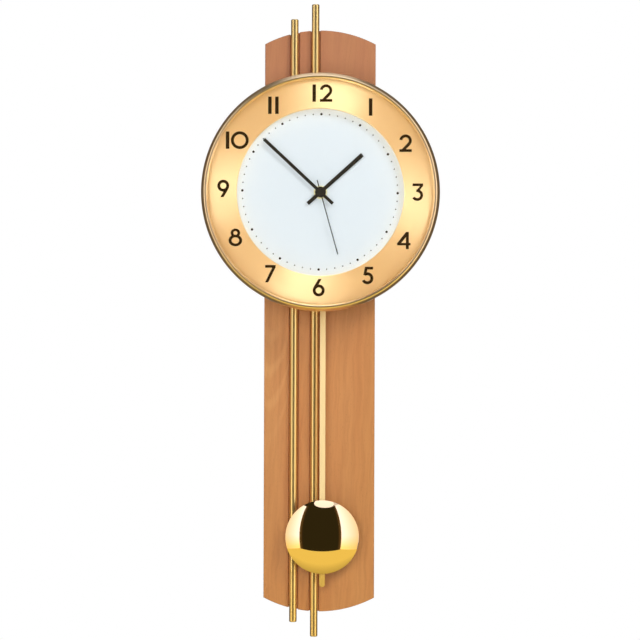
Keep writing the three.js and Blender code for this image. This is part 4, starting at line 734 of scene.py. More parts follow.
# %% A tree that sweeps a profile round a circle
sweep_tree, given = new_tree("swept_ring", {"Circle Radius": "Float", "Steps": "Int", "Centre": "Vector",
                                            "Finish": "Material"})
loop = add(sweep_tree, "GeometryNodeMeshToCurve", {"Mesh": given["Geometry"]}).outputs[0]
circle = add(sweep_tree, "GeometryNodeCurvePrimitiveCircle", {"Resolution": given["Steps"],
                                                              "Radius": given["Circle Radius"]}).outputs[0]
skin = add(sweep_tree, "GeometryNodeCurveToMesh", {"Curve": circle, "Profile Curve": loop}).outputs[0]
stood = add(sweep_tree, "GeometryNodeTransform", {"Geometry": skin, "Rotation": (-math.pi / 2, 0.0, 0.0),
                                                  "Translation": given["Centre"]}).outputs[0]
real = add(sweep_tree, "GeometryNodeRealizeInstances", {"Geometry": stood}).outputs[0]
gilded = add(sweep_tree, "GeometryNodeSetMaterial", {"Geometry": real, "Material": given["Finish"]}).outputs[0]
add(sweep_tree, "NodeGroupOutput", {"Geometry": gilded})

# %% Bezel
CREST, LIP, STEPS = 120.2, 79.8, 384
rise = [math.radians(9 + 81 * i / 18) for i in range(19)]
fall = [math.radians(78) * i / 14 for i in range(1, 15)]
inner_half = [(CREST - 2.0 * math.cos(t), LIP + 3.6 * (math.sin(t) - 0.16)) for t in rise]
outer_half = [(CREST + 2.9 * math.sin(t), LIP + 3.0 * math.cos(t)) for t in fall]
flank = [(123.5, LIP), (124.0, 79.0), (124.4, 78.2), (124.7, 77.3), (124.9, 76.4), (125.0, 75.4), (124.8, 75.0)]
skirt = [(123.4, 73.4), (123.4, 65.7), (123.2, 65.5), (121.9, 65.5), (121.9, GLASS_REAR), (120.7, GLASS_REAR),
         (120.7, LIP)]
profile = [*inner_half, *outer_half, *flank, *skirt]
points = [((radius - CREST) * MM, depth * MM, 0.0) for radius, depth in profile]
edges = [(i, (i + 1) % len(points)) for i in range(len(points))]
bezel = made_by(sweep_tree, "gilt_bezel_ring", points, edges, {
    "Circle Radius": CREST * MM, "Steps": STEPS, "Centre": place(*DIAL, 0.0), "Finish": gilt})
bm = bmesh.new()
bm.from_mesh(bezel.data)
bmesh.ops.remove_doubles(bm, verts=bm.verts, dist=1e-7)
bmesh.ops.recalc_face_normals(bm, faces=bm.faces)
bm.to_mesh(bezel.data)
bm.free()
bezel.data.shade_smooth()
bezel.data.set_sharp_from_angle(angle=SHARP)
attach(bezel, "case")
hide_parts("bezel_ring")
print("bezel:", len(profile), "points in the profile,", len(bezel.data.polygons), "faces")

# %% [markdown]
# ## Glass, hour ring, dial and nut
# The glass is a flat pane. The hour ring is pressed from sheet: a collar down to the dial, a flat brushed face and a
# small bead under the glass. The dial is a plain painted disc, and a round nut in its middle clamps the movement.
# All are turned, the larger ones with 192 sides, because their edges are the longest curves that the viewer sees.

# %% Glass
low, high = GLASS_REAR, GLASS_FRONT
profile = [(0, low), (120.2, low), (120.4, low + 0.2), (120.4, high - 0.2), (120.2, high), (0, high)]
glass = turned("dial_glass", profile, DIAL, clear_glass, 192)
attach(glass, "case")
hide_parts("glass")

# %% Hour ring
profile = [(87.8, DIAL_FRONT), (87.8, 73.9), *bend(0.6, 88.4, 73.9, 180, 90, 6), (119.0, RING_FRONT), (119.1, 74.6),
           (119.1, 76.3), (119.3, GLASS_REAR), (119.9, GLASS_REAR), (120.1, 76.3), (120.1, RING_FRONT),
           (121.3, RING_FRONT), (121.3, 73.7), (88.6, 73.7), (88.6, DIAL_FRONT)]
ring = turned("brushed_hour_ring", profile, DIAL, ring_gold, 192)
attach(ring, "case")
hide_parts("chapter_ring")

# %% Dial
profile = [(4.3, DIAL_REAR), (120.1, DIAL_REAR), (120.1, DIAL_FRONT), (4.3, DIAL_FRONT)]
dial = turned("painted_dial", profile, DIAL, dial_white, 192)
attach(dial, "case")
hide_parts("dial_disc")
print("glass, ring and dial made")

# %% Centre nut
profile = [(4.15, DIAL_FRONT), (6.9, DIAL_FRONT), (7.0, 64.6), (7.0, 66.0), (6.7, 66.3), (4.4, 66.3), (4.15, 66.1)]
nut = turned("knurled_nut", profile, DIAL, nut_brass, 96)
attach(nut, "case")
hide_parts("centre_nut")
print("centre nut:", len(nut.data.polygons), "faces")

# %% [markdown]
# ## Minute dots
# Sixty dots are printed on the dial, and every fifth is twice as large. That is a rule again: points on a circle, a
# small disc on each, and a size that depends on the point's number. The print stands a twentieth of a millimetre
# off the paint, as thick ink does. It is turned a little, since a printed dial is seldom fitted dead straight.

# %% A tree that sets dots round a circle
dot_tree, given = new_tree("dots_on_a_circle", {"Circle Radius": "Float", "Minute Dot": "Float", "Hour Dot": "Float",
                                                "Ink": "Float", "Centre": "Vector", "Turn": "Float",
                                                "Finish": "Material"})
circle = add(dot_tree, "GeometryNodeMeshCircle", {"Vertices": 60, "Radius": given["Circle Radius"]}).outputs[0]
number = add(dot_tree, "GeometryNodeInputIndex").outputs[0]
fifth = add(dot_tree, "FunctionNodeCompare", {2: add(dot_tree, "ShaderNodeMath", {0: number, 1: 5.0},
            operation="MODULO").outputs[0], 3: 0}, data_type="INT", operation="EQUAL").outputs[0]
size = add(dot_tree, "GeometryNodeSwitch", {"Switch": fifth, "False": given["Minute Dot"], "True": given["Hour Dot"]},
           input_type="FLOAT").outputs[0]
flat = add(dot_tree, "ShaderNodeCombineXYZ", {"X": size, "Y": size, "Z": given["Ink"]}).outputs[0]
drop = add(dot_tree, "GeometryNodeMeshCylinder", {"Vertices": 20, "Radius": 1.0, "Depth": 1.0}).outputs[0]
dots = add(dot_tree, "GeometryNodeInstanceOnPoints", {"Points": circle, "Instance": drop, "Scale": flat}).outputs[0]
turn = add(dot_tree, "ShaderNodeCombineXYZ", {"X": math.pi / 2, "Y": given["Turn"]}).outputs[0]
stood = add(dot_tree, "GeometryNodeTransform", {"Geometry": dots, "Rotation": turn,
                                                "Translation": given["Centre"]}).outputs[0]
real = add(dot_tree, "GeometryNodeRealizeInstances", {"Geometry": stood}).outputs[0]
inked = add(dot_tree, "GeometryNodeSetMaterial", {"Geometry": real, "Material": given["Finish"]}).outputs[0]
add(dot_tree, "NodeGroupOutput", {"Geometry": inked})

# %% Dots
PRINT_TURN = 0.86
dots = made_by(dot_tree, "minute_dots", [(0.0, 0.0, 0.0)], [], {
    "Circle Radius": 81.5 * MM, "Minute Dot": 0.68 * MM, "Hour Dot": 1.3 * MM, "Ink": 0.1 * MM,
    "Centre": place(DIAL[0] - 0.5, DIAL[1] + 0.5, DIAL_FRONT), "Turn": math.radians(PRINT_TURN), "Finish": dot_ink})
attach(dots, "case")

# %% [markdown]
# ## Hour numbers
# The numbers are plain geometric figures of even stroke, all upright. Each is drawn from bars, slanted strokes and
# parts of rings that overlap, and the triangulation joins them, which avoids a font file and gives clean corners.
# They are drawn 17.3 units high with strokes 2.7 to 3 units wide, and scaled to 18 mm.


# %% Strokes
def bar(left, low, right, high):
    return [(left, low), (right, low), (right, high), (left, high)]


def arc(x, z, outer, inner, start, end, steps=32):
    """Part of a ring between two angles; outer and inner are (across, up) radii."""
    turns = [math.radians(start + (end - start) * i / steps) for i in range(steps + 1)]
    return ([(x + outer[0] * math.cos(t), z + outer[1] * math.sin(t)) for t in turns]
            + [(x + inner[0] * math.cos(t), z + inner[1] * math.sin(t)) for t in turns[::-1]])


def loop_of(x, z, outer, inner):
    return [arc(x, z, outer, inner, 0, 180), arc(x, z, outer, inner, 180, 360)]


SIX = [*loop_of(5.8, 5.8, (6.0, 6.0), (3.0, 3.0)), [(0.6, 9.0), (3.2, 7.2), (8.7, 17.3), (5.5, 17.3)]]
FIGURES = {
    "0": (17.4, loop_of(8.7, 8.65, (8.9, 8.85), (5.95, 5.9))),
    "1": (3.5, [bar(0, 0, 3.5, 17.3)]),
    "2": (12.0, [arc(6, 11.3, (6.2, 6.2), (3.3, 3.3), -35, 172), [(8.7, 9.5), (11.1, 7.6), (3.8, 0), (-0.2, 0)],
                 bar(-0.2, 0, 12.2, 2.7)]),
    "3": (10.4, [bar(0, 14.6, 10.6, 17.3), [(10.6, 17.3), (7.3, 14.7), (3.2, 9.4), (5.6, 8.5), (10.6, 15.0)],
                 arc(4.8, 5.6, (5.8, 5.8), (2.95, 2.95), -150, 100)]),
    "4": (13.5, [bar(8.85, 0, 11.8, 17.3), bar(0, 3.8, 13.5, 6.2),
                 [(9.0, 17.3), (11.5, 17.3), (11.5, 15.2), (2.9, 4.6), (0, 4.6), (0, 5.8)]]),
    "5": (11.2, [bar(3.0, 14.6, 11.1, 17.3), [(3.0, 17.3), (5.8, 17.3), (4.3, 8.8), (1.45, 9.0)],
                 arc(5.4, 5.8, (6.0, 6.0), (3.05, 3.05), -155, 128)]),
    "6": (11.6, SIX),
    "7": (10.4, [bar(0, 14.6, 10.5, 17.3), [(0, 0), (3.1, 0), (10.5, 15.0), (10.5, 17.3), (7.2, 15.0)]]),
    "8": (13.1, [*loop_of(6.55, 5.6, (6.75, 5.8), (3.8, 3.15)), *loop_of(6.55, 13.1, (4.75, 4.4), (2.0, 1.9))]),
    "9": (11.6, [[(11.6 - x, 17.3 - z) for x, z in stroke] for stroke in SIX]),
}

# %% Numbers on the ring
NUMBER_SCALE, NUMBER_RADIUS, NUMBER_RISE, HALF_FIGURE = 1.046, 101.7, 1.6, 8.65
FIGURE_SPACE = {10: 1.8, 11: 3.5, 12: 4.1}
strokes = []
for hour in range(1, 13):
    figures = [FIGURES[f] for f in str(hour)]
    space = FIGURE_SPACE.get(hour, 0.0)
    width = sum(f[0] for f in figures) + space * (len(figures) - 1)
    turn = math.radians(30 * hour + PRINT_TURN)
    middle = (DIAL[0] + NUMBER_RADIUS * math.sin(turn), DIAL[1] + NUMBER_RISE + NUMBER_RADIUS * math.cos(turn))
    left = -width / 2
    for figure_width, shapes in figures:
        for stroke in shapes:
            strokes.append([(middle[0] + NUMBER_SCALE * (left + x), middle[1] + NUMBER_SCALE * (z - HALF_FIGURE))
                            for x, z in stroke])
        left += figure_width + space
numbers = flat_piece("hour_numbers", strokes, [], RING_FRONT - 0.04, RING_FRONT + 0.05, print_ink)
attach(numbers, "case")
print("hour_numbers:", len(numbers.data.polygons), "faces from", len(strokes), "strokes")

# %% [markdown]
# ## Hands
# The hands are stamped from thin sheet and enamelled, with a hub pressed on each pipe. The second hand is a fine
# needle under a turned cap. They are drawn pointing to twelve and turned to the time, each on its own body, so that
# it turns with its own wheel.

# %% Hour and minute hands
def blade(root, tip, length, tail):
    return [(-root / 2, -tail), (root / 2, -tail), (tip / 2, length), (-tip / 2, length)]


HANDS = {
    "hour": (48.0, blade(3.8, 4.4, 58.9, 18.0), 4.6, 2.85, 67.2, "hour_pipe"),
    "minute": (313.0, blade(3.35, 3.35, 81.2, 17.6), 3.8, 1.85, 68.8, "minute_cannon"),
}
HAND_THICK = 0.7
for name, (turn, outline, hub, bore, rear, body) in HANDS.items():
    hand = flat_piece(f"{name}_hand_blade", [turned_outline(outline, turn, DIAL), disc(hub, *DIAL)],
                      [disc(bore, *DIAL)], rear, rear + HAND_THICK, hand_black, edge=0.18)
    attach(hand, body)
    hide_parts(f"{name}_hand")
    print(hand.name, "faces:", len(hand.data.polygons))

# %% Second hand
NEEDLE_REAR, NEEDLE_TURN = 70.4, 164.3
needle = flat_piece("second_hand_needle", [turned_outline(blade(0.95, 0.95, 67.6, 13.2), NEEDLE_TURN, DIAL)], [],
                    NEEDLE_REAR, NEEDLE_REAR + 0.4, hand_black)
profile = [(0, NEEDLE_REAR), (5.66, NEEDLE_REAR), (5.66, 71.2), *bend(1.0, 4.66, 71.2, 0, 90, 8), (0, 72.2)]
worked_with(needle, turned("cap", profile, DIAL, hand_black, 96), "UNION")
worked_with(needle, plug(0.95, NEEDLE_REAR - 1.0, 71.3, DIAL, hand_black), "DIFFERENCE")
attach(needle, "second_arbor")
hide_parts("second_hand")
print("second_hand_needle:", len(needle.data.polygons), "faces")

# %% [markdown]
# ## Pendulum
# The pendulum rod is a rolled brass strip with a keyhole at its top that hangs on the lever's stud, and a round tip.
# The bob is spun from brass sheet into a shallow dome and polished, and a plate behind it slides on the strip. A
# mirror shows every flat facet, so the dome has 64 rings of 192 faces. All of it rides on the pendulum's body.

# %% Strip
HOOK_Z, TIP_Z = -111.0, -532.1
outline = [*bend(3.0, PENDULUM_X, TIP_Z + 3.0, 180, 360, 24), *bend(1.0, PENDULUM_X + 2.0, HOOK_Z + 3.5, 0, 90, 6),
           *bend(1.0, PENDULUM_X - 2.0, HOOK_Z + 3.5, 90, 180, 6)]
keyhole = [stadium(1.45, HOOK_Z - 5.5, HOOK_Z, PENDULUM_X), disc(2.25, PENDULUM_X, HOOK_Z - 5.5)]
strip = flat_piece("pendulum_rod_strip", [outline], keyhole, STRIP_REAR, STRIP_FRONT, strip_brass, edge=0.15,
                   rear_edge=True)
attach(strip, "pendulum")
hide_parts("pendulum_strip")
print("pendulum rod hangs", round(HOOK_Z - TIP_Z, 1), "mm below its hook")

# %% Bob
BOB_RADIUS, SHELL = 39.0, 0.8
bob_rear, dome, rim = 35.3, 12.0, 1.7
sphere = (BOB_RADIUS ** 2 + dome ** 2) / (2 * dome)
crown = bob_rear + rim + dome
middle_depth = crown - sphere
edge_turn = math.degrees(math.asin((bob_rear + rim - middle_depth) / sphere))
inner_turn = math.degrees(math.acos((BOB_RADIUS - SHELL) / (sphere - SHELL)))
profile = [(0, crown), *bend(sphere, 0, middle_depth, 90, edge_turn, 64)[1:], (BOB_RADIUS, bob_rear + 0.2),
           (BOB_RADIUS - 0.2, bob_rear), (BOB_RADIUS - SHELL, bob_rear),
           *bend(sphere - SHELL, 0, middle_depth, inner_turn, 90, 24)[:-1], (0, crown - SHELL)]
bob = turned("polished_bob", profile, (PENDULUM_X, BOB_Z), bob_brass, 192)
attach(bob, "pendulum")
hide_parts("bob_shell")
print("polished_bob: dome of radius", round(sphere, 1), "mm,", len(bob.data.polygons), "faces")

# %% Back plate
profile = [(0, bob_rear), (37.7, bob_rear), (37.9, 35.5), (37.9, 36.1), (37.7, 36.3), (0, 36.3)]
plate = turned("bob_plate", profile, (PENDULUM_X, BOB_Z), zinc, 96)
hook = [(3.3, 35.8), (3.3, 33.7), (1.9, 33.7), (1.9, 33.0), (4.0, 33.0), (4.0, 35.8)]
for side in (-1, 1):
    bm = bmesh.new()
    ends = [[bm.verts.new(place(PENDULUM_X + side * x, BOB_Z + z, depth)) for x, depth in hook]
            for z in (-17.0, 17.0)]
    for end in ends:
        bm.faces.new(end)
    for i in range(len(hook)):
        j = (i + 1) % len(hook)
        bm.faces.new([ends[0][i], ends[0][j], ends[1][j], ends[1][i]])
    worked_with(plate, finished("tool", bm, zinc), "UNION")
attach(plate, "pendulum")
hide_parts("bob_back_plate")
print("bob_plate:", len(plate.data.polygons), "faces")

# %% [markdown]
# ## Battery and button
# From behind, the window shows the movement's back with its battery and the small button that sets the time. The
# cell is a turned can in a plain foil jacket: the eye gets a glossy dark sleeve with a paler shoulder and bare steel
# at both crimped ends. The bands follow the height, so they come from Object coordinates.

# %% Battery jacket
SHOULDER_Z, CRIMP_TOP_Z, CRIMP_LOW_Z = -0.0965, -0.0925, -0.1385
jacket, tree, shader = new_finish("battery_jacket")
spot = add(tree, "ShaderNodeTexCoord").outputs["Object"]
height = add(tree, "ShaderNodeSeparateXYZ", {"Vector": spot}).outputs[2]
shoulder = add(tree, "ShaderNodeMath", {0: height, 1: SHOULDER_Z}, operation="GREATER_THAN").outputs[0]
crimp_high = add(tree, "ShaderNodeMath", {0: height, 1: CRIMP_TOP_Z}, operation="GREATER_THAN").outputs[0]
crimp_low = add(tree, "ShaderNodeMath", {0: height, 1: CRIMP_LOW_Z}, operation="LESS_THAN").outputs[0]
bare = add(tree, "ShaderNodeMath", {0: crimp_high, 1: crimp_low}, operation="MAXIMUM").outputs[0]
scuff = add(tree, "ShaderNodeTexNoise", {"Vector": spot, "Scale": 260.0, "Detail": 3.0}).outputs[0]
wrap = add(tree, "ShaderNodeMix", {0: shoulder, MIX_A: colour("#3A4048"), MIX_B: colour("#7E93A3")},
           data_type="RGBA").outputs[MIX_RESULT]
banded = add(tree, "ShaderNodeMix", {0: bare, MIX_A: wrap, MIX_B: colour("#B9BCC0")},
             data_type="RGBA").outputs[MIX_RESULT]
tree.links.new(banded, shader.inputs["Base Color"])
tree.links.new(bare, shader.inputs["Metallic"])
sheen = add(tree, "ShaderNodeMapRange", {"Value": scuff, "To Min": 0.22, "To Max": 0.36}).outputs[0]
tree.links.new(sheen, shader.inputs["Roughness"])
print("battery_jacket:", len(tree.nodes), "nodes")

# %% Battery
low, high = -140.25, -89.75
profile = [(0, low), (6.4, low), *bend(0.5, 6.75, low + 0.5, -90, 0, 4), *bend(0.5, 6.75, high - 1.9, 0, 90, 4),
           (5.2, high - 1.4), (4.9, high - 1.6), (2.75, high - 1.4), (2.75, high - 0.3), (2.45, high), (0, high)]
battery = turned("battery_can", profile, (38.5, 49.2), jacket, 64, upright=True)
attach(battery, "case")
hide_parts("battery")
print("battery:", high - low, "mm long")

# %% Button
low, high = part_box("set_button")
rear, front = -high[1] / MM, -low[1] / MM
profile = [(0, rear), *bend(0.5, 2.0, rear + 0.5, -90, 0, 5), (2.5, front - 0.6), (3.6, front - 0.6), (3.6, front),
           (0, front)]
button = turned("setting_button", profile, (DIAL[0] + 22, DIAL[1] - 18), red_plastic, 48)
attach(button, "button")
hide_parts("set_button")
print("setting_button depth from", round(rear, 2), "to", round(front, 2))

# %% [markdown]
# ## Windings, ferrite and circuit board
# The parts inside the movement keep their solid shapes, which are right as they are, and get their own finishes:
# enamelled copper wire laid turn by turn, pressed ferrite, green laminate with its tracks, and white wheels. A coil
# is one solid, so its wire is a cosine along the coil's axis, one wave for each turn. Real wire is a tenth of a
# millimetre thick, and is drawn three to four times as coarse so that the turns can be told apart.


# %% Wire windings
def winding(name, axis, pitch):
    """Enamelled wire that runs round an axis (0, 1 or 2), a turn every pitch metres: coppery, finely ribbed."""
    material, tree, shader = new_finish(name, Metallic=1.0, Base_Color=colour("#B8693A"))
    spot = add(tree, "ShaderNodeTexCoord").outputs["Object"]
    along = add(tree, "ShaderNodeSeparateXYZ", {"Vector": spot}).outputs[axis]
    turns = add(tree, "ShaderNodeMath", {0: along, 1: 2 * math.pi / pitch}, operation="MULTIPLY").outputs[0]
    wire = add(tree, "ShaderNodeMath", {0: turns}, operation="COSINE").outputs[0]
    tone = add(tree, "ShaderNodeMapRange", {"Value": wire, "From Min": -1.0, "To Min": 0.42, "To Max": 0.26}).outputs[0]
    tree.links.new(tone, shader.inputs["Roughness"])
    relief = add(tree, "ShaderNodeBump", {"Height": wire, "Strength": 0.8, "Distance": pitch / 3}).outputs[0]
    tree.links.new(relief, shader.inputs["Normal"])
    return material


antenna_wire = winding("antenna_wire", 0, 0.0004)
coil_wire = winding("coil_wire", 2, 0.0003)
drive_wire = winding("drive_wire", 1, 0.0003)
print("wires:", antenna_wire.name, coil_wire.name, drive_wire.name)

# %% Ferrite and laminate
# Pressed and fired ferrite: charcoal grey with the grain of its powder.
ferrite = skinned("pressed_ferrite", "#35353A", "#45454B", 0.65, 700.0, 0.6)
# Solder resist over glass-fibre laminate: leaf green with paler tracks under it.
laminate, tree, shader = new_finish("green_laminate", Roughness=0.4)
spot = add(tree, "ShaderNodeTexCoord").outputs["Object"]
square = add(tree, "ShaderNodeTexVoronoi", {"Vector": spot, "Scale": 420.0}, distance="MANHATTAN").outputs["Distance"]
track = add(tree, "ShaderNodeMapRange", {"Value": square, "From Min": 0.55, "From Max": 0.6}).outputs[0]
board_green = add(tree, "ShaderNodeMix", {0: track, MIX_A: colour("#2C6A41"), MIX_B: colour("#4B8A55")},
                  data_type="RGBA").outputs[MIX_RESULT]
tree.links.new(board_green, shader.inputs["Base Color"])
print("green_laminate:", len(tree.nodes), "nodes")

# %% Finishes on the solids that stay
KEPT = {
    housing_plastic: ["movement_back", "movement_front"], rubber: ["dial_washer"], ferrite: ["antenna_rod"],
    spring_steel: ["battery_contact_plus", "battery_contact_minus"], laminate: ["circuit_board"],
    antenna_wire: ["antenna_coil"], coil_wire: ["second_coil", "minute_coil"], drive_wire: ["pendulum_coil"],
    wheel_plastic: ["second_wheel", "minute_wheel", "hour_wheel", "motion_wheel", "second_reduction_wheel",
                    "minute_reduction_wheel", "second_rotor", "minute_rotor", "pendulum_lever"],
    iron: ["second_stator", "minute_stator"], magnet_skin: ["pendulum_magnet"],
}
for finish, names in KEPT.items():
    for name in names:
        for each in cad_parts[name].material_slots:
            each.material = finish
print("kept solids:", sum(map(len, KEPT.values())))

# %% [markdown]
# ## The studio
# The clock hangs before white. Polished metal shows nothing but its surroundings, so the studio is built for its
# reflections: a dark screen in front draws the dark core down each rod and the dark middle of the bob, a tall soft
# box at each side of it draws the bright bands beside them, a small one above is the spot on the bob's crown, and a
# golden card below gives the bob its yellow foot.
#
# The world is the first light. Rays from the camera, and those that metal and glass send on, see plain white. All
# others get a much weaker bluish light, which fills the shadows without bleaching the colours.

# %% World
world = bpy.data.worlds.new("white_studio")
scene.world = world
world.use_nodes = True
tree = world.node_tree
tree.nodes.clear()
path = add(tree, "ShaderNodeLightPath")
seen = add(tree, "ShaderNodeMath", {0: path.outputs["Is Camera Ray"], 1: path.outputs["Is Glossy Ray"]},
           operation="MAXIMUM").outputs[0]
seen = add(tree, "ShaderNodeMath", {0: seen, 1: path.outputs["Is Transmission Ray"]}, operation="MAXIMUM").outputs[0]
ambient = add(tree, "ShaderNodeBackground", {"Color": colour("#F4F8FF"), "Strength": 0.27}).outputs[0]
white = add(tree, "ShaderNodeBackground", {"Color": (1, 1, 1, 1), "Strength": 1.0}).outputs[0]
mixed = add(tree, "ShaderNodeMixShader", {0: seen, 1: ambient, 2: white}).outputs[0]
add(tree, "ShaderNodeOutputWorld", {"Surface": mixed})


# %% [markdown]
# ### Flats
# A photographer's flats are boards that a metal mirrors. Here they are single faces that the camera does not see
# and that cast neither light nor shadow, so each one changes a reflection and nothing else. Their glow fades from
# one side to the other, as a soft box does away from its lamp.


# %% Flats
def flat_of(name, corners, finish, camera=False, lights=False, glossy=True):
    """A flat in the studio. The camera doesn't see it unless it is told to, one that lights nothing shows in
    polished metal only, and one that isn't glossy shows only in what stands behind the glass."""
    mesh = bpy.data.meshes.new(name)
    mesh.from_pydata(corners, [], [tuple(range(len(corners)))])
    mesh.materials.append(finish)
    piece = bpy.data.objects.new(name, mesh)
    scene.collection.objects.link(piece)
    piece.visible_camera = camera
    piece.visible_diffuse = lights
    piece.visible_shadow = lights
    piece.visible_glossy = glossy


def upright_flat(name, near, far, low, high, finish, **settings):
    """A flat that stands on the line from near to far, given as (x, y)."""
    flat_of(name, [(*near, low), (*far, low), (*far, high), (*near, high)], finish, **settings)


def level_flat(name, left, right, near, far, height, finish, **settings):
    """A flat that lies level, from left to right and from near to far."""
    flat_of(name, [(left, near, height), (right, near, height), (right, far, height), (left, far, height)], finish,
            **settings)


# %% Light that fades across a flat
def glow(name, strength, fade_from, fade_to, least, tint, far_tint=None, low_tint=None):
    """Light that fades across a flat, from one point to another, to a least share and a far tint. A low tint takes
    over between half a metre and a metre below the frame's zero."""
    material = bpy.data.materials.new(name)
    material.use_nodes = True
    tree = material.node_tree
    tree.nodes.clear()
    spot = add(tree, "ShaderNodeTexCoord").outputs["Object"]
    step = Vector(fade_to) - Vector(fade_from)
    away = add(tree, "ShaderNodeVectorMath", {0: spot, 1: fade_from}, operation="SUBTRACT").outputs[0]
    share = add(tree, "ShaderNodeVectorMath", {0: away, 1: tuple(step / step.length_squared)},
                operation="DOT_PRODUCT").outputs["Value"]
    level = add(tree, "ShaderNodeMapRange", {"Value": share, "To Min": strength, "To Max": strength * least}).outputs[0]
    share = add(tree, "ShaderNodeMapRange", {"Value": share}).outputs[0]
    hue = add(tree, "ShaderNodeMix", {0: share, MIX_A: colour(tint), MIX_B: colour(far_tint or tint)},
              data_type="RGBA").outputs[MIX_RESULT]
    if low_tint:
        height = add(tree, "ShaderNodeSeparateXYZ", {"Vector": spot}).outputs[2]
        low = add(tree, "ShaderNodeMapRange", {"Value": height, "From Min": -0.5, "From Max": -1.0}).outputs[0]
        hue = add(tree, "ShaderNodeMix", {0: low, MIX_A: hue, MIX_B: colour(low_tint)},
                  data_type="RGBA").outputs[MIX_RESULT]
    light = add(tree, "ShaderNodeEmission", {"Color": hue, "Strength": level}).outputs[0]
    add(tree, "ShaderNodeOutputMaterial", {"Surface": light})
    return material


def even_glow(name, strength, tint):
    """Light of one strength and tint all over a flat."""
    return glow(name, strength, (0, 0, 0), (0, 0, 1), 1.0, tint)


# %% The floor
# A pale matt floor paint. Its own faint light is for the camera alone, so that it stays nearly white in the corners
# of a view and keeps the clock's shadow.
FLOOR_LIFT = 0.55
floor_paint, tree, shader = new_finish("pale_floor", Base_Color=colour("#F4F3F0"), Roughness=0.9,
                                       Specular_IOR_Level=0.2, Emission_Color=colour("#F4F3F0"))
seen = add(tree, "ShaderNodeLightPath").outputs["Is Camera Ray"]
lift = add(tree, "ShaderNodeMath", {0: seen, 1: FLOOR_LIFT}, operation="MULTIPLY").outputs[0]
tree.links.new(lift, shader.inputs["Emission Strength"])
FLOOR, UP = -1.12, 1.35
level_flat("floor", -2.6, 2.6, -2.6, 2.6, FLOOR, floor_paint, camera=True, lights=True)
print("floor at", FLOOR, "m")

# %% Screen and soft boxes
SCREEN, WING, JUST_OVER = -1.2, -0.6, FLOOR + 0.01
LEFT, RIGHT = (-1.03, -1.5), (0.82, 1.45)
dark_screen = even_glow("dark_screen", 0.036, "#FFE78A")
upright_flat("screen", (LEFT[0] * 0.8, SCREEN), (RIGHT[0] * 0.8, SCREEN), FLOOR, UP, dark_screen)
level_flat("flag", -0.40, -1.5, SCREEN, 0.1, UP, dark_screen)
for side, (near, far) in (("left", LEFT), ("right", RIGHT)):
    shoulder = glow("shoulder_" + side, 0.2, (near, SCREEN, 0), (near * 0.8, SCREEN, 0), 0.18, "#FFCF78")
    light = glow("soft_box_" + side, 2.1, (near, SCREEN, 0), (far, WING, 0), 0.68, "#F6F9FF", "#FFEBC4", "#FFE292")
    upright_flat("shoulder_" + side, (near, SCREEN), (near * 0.8, SCREEN), FLOOR, UP, shoulder)
    upright_flat("box_" + side, (near, SCREEN), (far, WING), FLOOR + 0.02, UP, light)
gold_card = glow("gold_card", 1.27, (0, -0.5, FLOOR), (0, -0.2, FLOOR), 0.6, "#F7DE6E")
level_flat("card", -1.5, 1.5, -1.18, -0.05, JUST_OVER, gold_card)
top_light = glow("soft_box_top", 1.8, (0.1, -0.7, UP), (0.1, -1.2, UP), 0.9, "#FFFFFF")
turns = [2 * math.pi * step / 32 for step in range(32)]
flat_of("box_top", [(0.10 + 0.5 * math.cos(t), -0.94 - 0.24 * math.sin(t), 1.07 - 0.15 * math.sin(t)) for t in turns],
        top_light)
print("soft boxes from", LEFT, "and", RIGHT)

# %% [markdown]
# A dim warm room closes the studio round the back and above the clock. It shows in the steep outer side of the bezel
# and in the edges of the rods, which would otherwise mirror the white world and vanish against it. Its rear wall
# has a window behind the clock, so that the back of the clock gets light too.

# %% The dim room behind
BACK, REAR = 1.0, 1.02
dim_wing = glow("dim_wing", 0.13, (0, -0.58, 0), (0, 0.5, 0), 0.7, "#FFE0B8")
for side, (_, far), near, end in (("left", LEFT, -0.45, -1.6), ("right", RIGHT, 0.45, 1.55)):
    upright_flat("wing_" + side, (far, -0.58), (far * 1.05, BACK), FLOOR, UP, dim_wing)
    upright_flat("rear_" + side, (near, REAR), (end, REAR), FLOOR, UP, dim_wing)
    level_flat("roof_" + side, near, end, -0.58, BACK, UP, dim_wing)
upright_flat("rear_above", (-0.45, REAR), (0.45, REAR), 0.3, UP, dim_wing)
upright_flat("rear_below", (-0.45, REAR), (0.45, REAR), FLOOR, -0.8, dim_wing)
level_flat("cloth", -1.5, 1.5, -0.04, BACK, JUST_OVER, dim_wing)
print("rear wall at", REAR, "m behind the wall plane")

# %% [markdown]
# ### What the hour ring sees
# Brushed metal spreads a light into a wedge. Four bright panels round the dial's axis, one near each quarter, make
# the four pale wedges of the hour ring, and a warm wall in front gives it its gold in between. They show only behind
# the glass, through which the ring is seen, and so stay out of the rods and the bob.

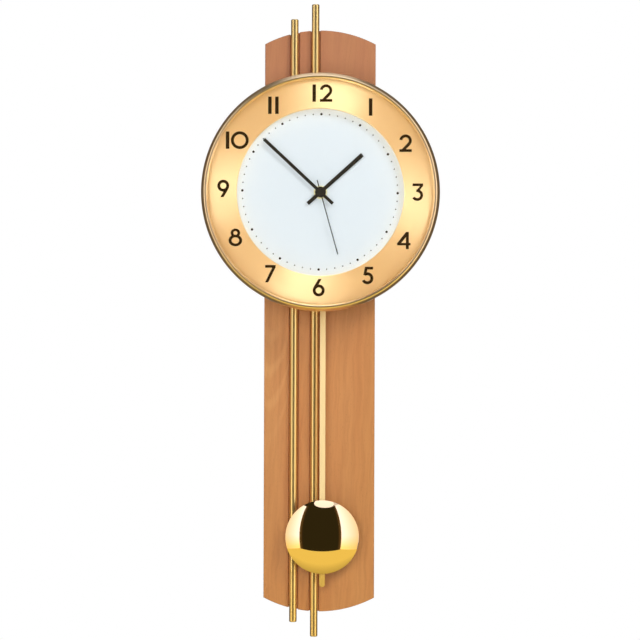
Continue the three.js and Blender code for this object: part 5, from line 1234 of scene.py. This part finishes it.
# %% Panels that show in the hour ring
REACH = 1.1
warm_room = even_glow("warm_room", 0.86, "#FFC482")
upright_flat("warm_room", (-4.0, -1.15), (4.0, -1.15), -4.0, 4.0, warm_room, glossy=False)
for name, azimuth, strength in (("top", 5, 6.5), ("right", 98, 5.2), ("bottom", 195, 5.0), ("left", 272, 5.2)):
    panel = even_glow("ring_panel_" + name, strength, "#FFFFFF")
    corners = []
    for tilt, swing in ((22, -15), (22, 15), (76, 15), (76, -15)):
        tilt, turn = math.radians(tilt), math.radians(azimuth + swing)
        corners.append((REACH * math.sin(tilt) * math.sin(turn), -REACH * math.cos(tilt),
                        DIAL[1] * MM + REACH * math.sin(tilt) * math.cos(turn)))
    flat_of("ring_panel_" + name, corners, panel, glossy=False)

# %% [markdown]
# ### Lamps
# Three large lamps light wood, paint and plastic: one in front, a key from the upper right for the soft shadows, and
# one behind for the back of the clock. Metal and glass do not show them, because the flats are there for that.


# %% Lamps
def lamp(name, spot, aim, size, energy):
    """A square lamp that lights the clock without showing in its metal."""
    light = bpy.data.lights.new(name, "AREA")
    light.shape, light.size, light.energy, light.color = "SQUARE", size, energy, (0.96, 0.98, 1.0)
    holder = bpy.data.objects.new(name, light)
    scene.collection.objects.link(holder)
    turn = (Vector(aim) - Vector(spot)).to_track_quat("-Z", "Y").to_matrix().to_4x4()
    holder.matrix_world = Matrix.Translation(spot) @ turn
    holder.visible_glossy = False
    holder.visible_transmission = False


lamp("front_fill", (-0.2, -1.7, -0.1), (0.0, 0.0, -0.2), 1.0, 14.8)
lamp("key", (0.85, -1.4, 0.9), (0.0, 0.0, -0.2), 0.7, 12.6)
lamp("back_fill", (-0.6, 1.5, 0.5), (0.0, 0.0, -0.25), 1.0, 12.0)
print("lamps:", [light.name for light in bpy.data.lights])

# %% [markdown]
# ## Camera
# The photograph was taken level with the middle of the clock, with a long lens some three metres away, so the board
# keeps parallel sides. The camera leans by a fifth of a degree, as the photograph does.

# %% Camera
lens = bpy.data.cameras.new("camera")
lens.lens, lens.sensor_width = 157.3, 36.0
camera = bpy.data.objects.new("camera", lens)
scene.collection.objects.link(camera)
camera.matrix_world = (Matrix.Translation((0.00045, -3.0, -0.249)) @ Matrix.Rotation(math.pi / 2, 4, "X")
                       @ Matrix.Rotation(math.radians(0.19), 4, "Z"))
lens.clip_end = 50.0
scene.camera = camera
scene.view_settings.view_transform = "Standard"
print("camera", round(camera.matrix_world.translation.length, 2), "m away, lens", round(lens.lens, 1), "mm")
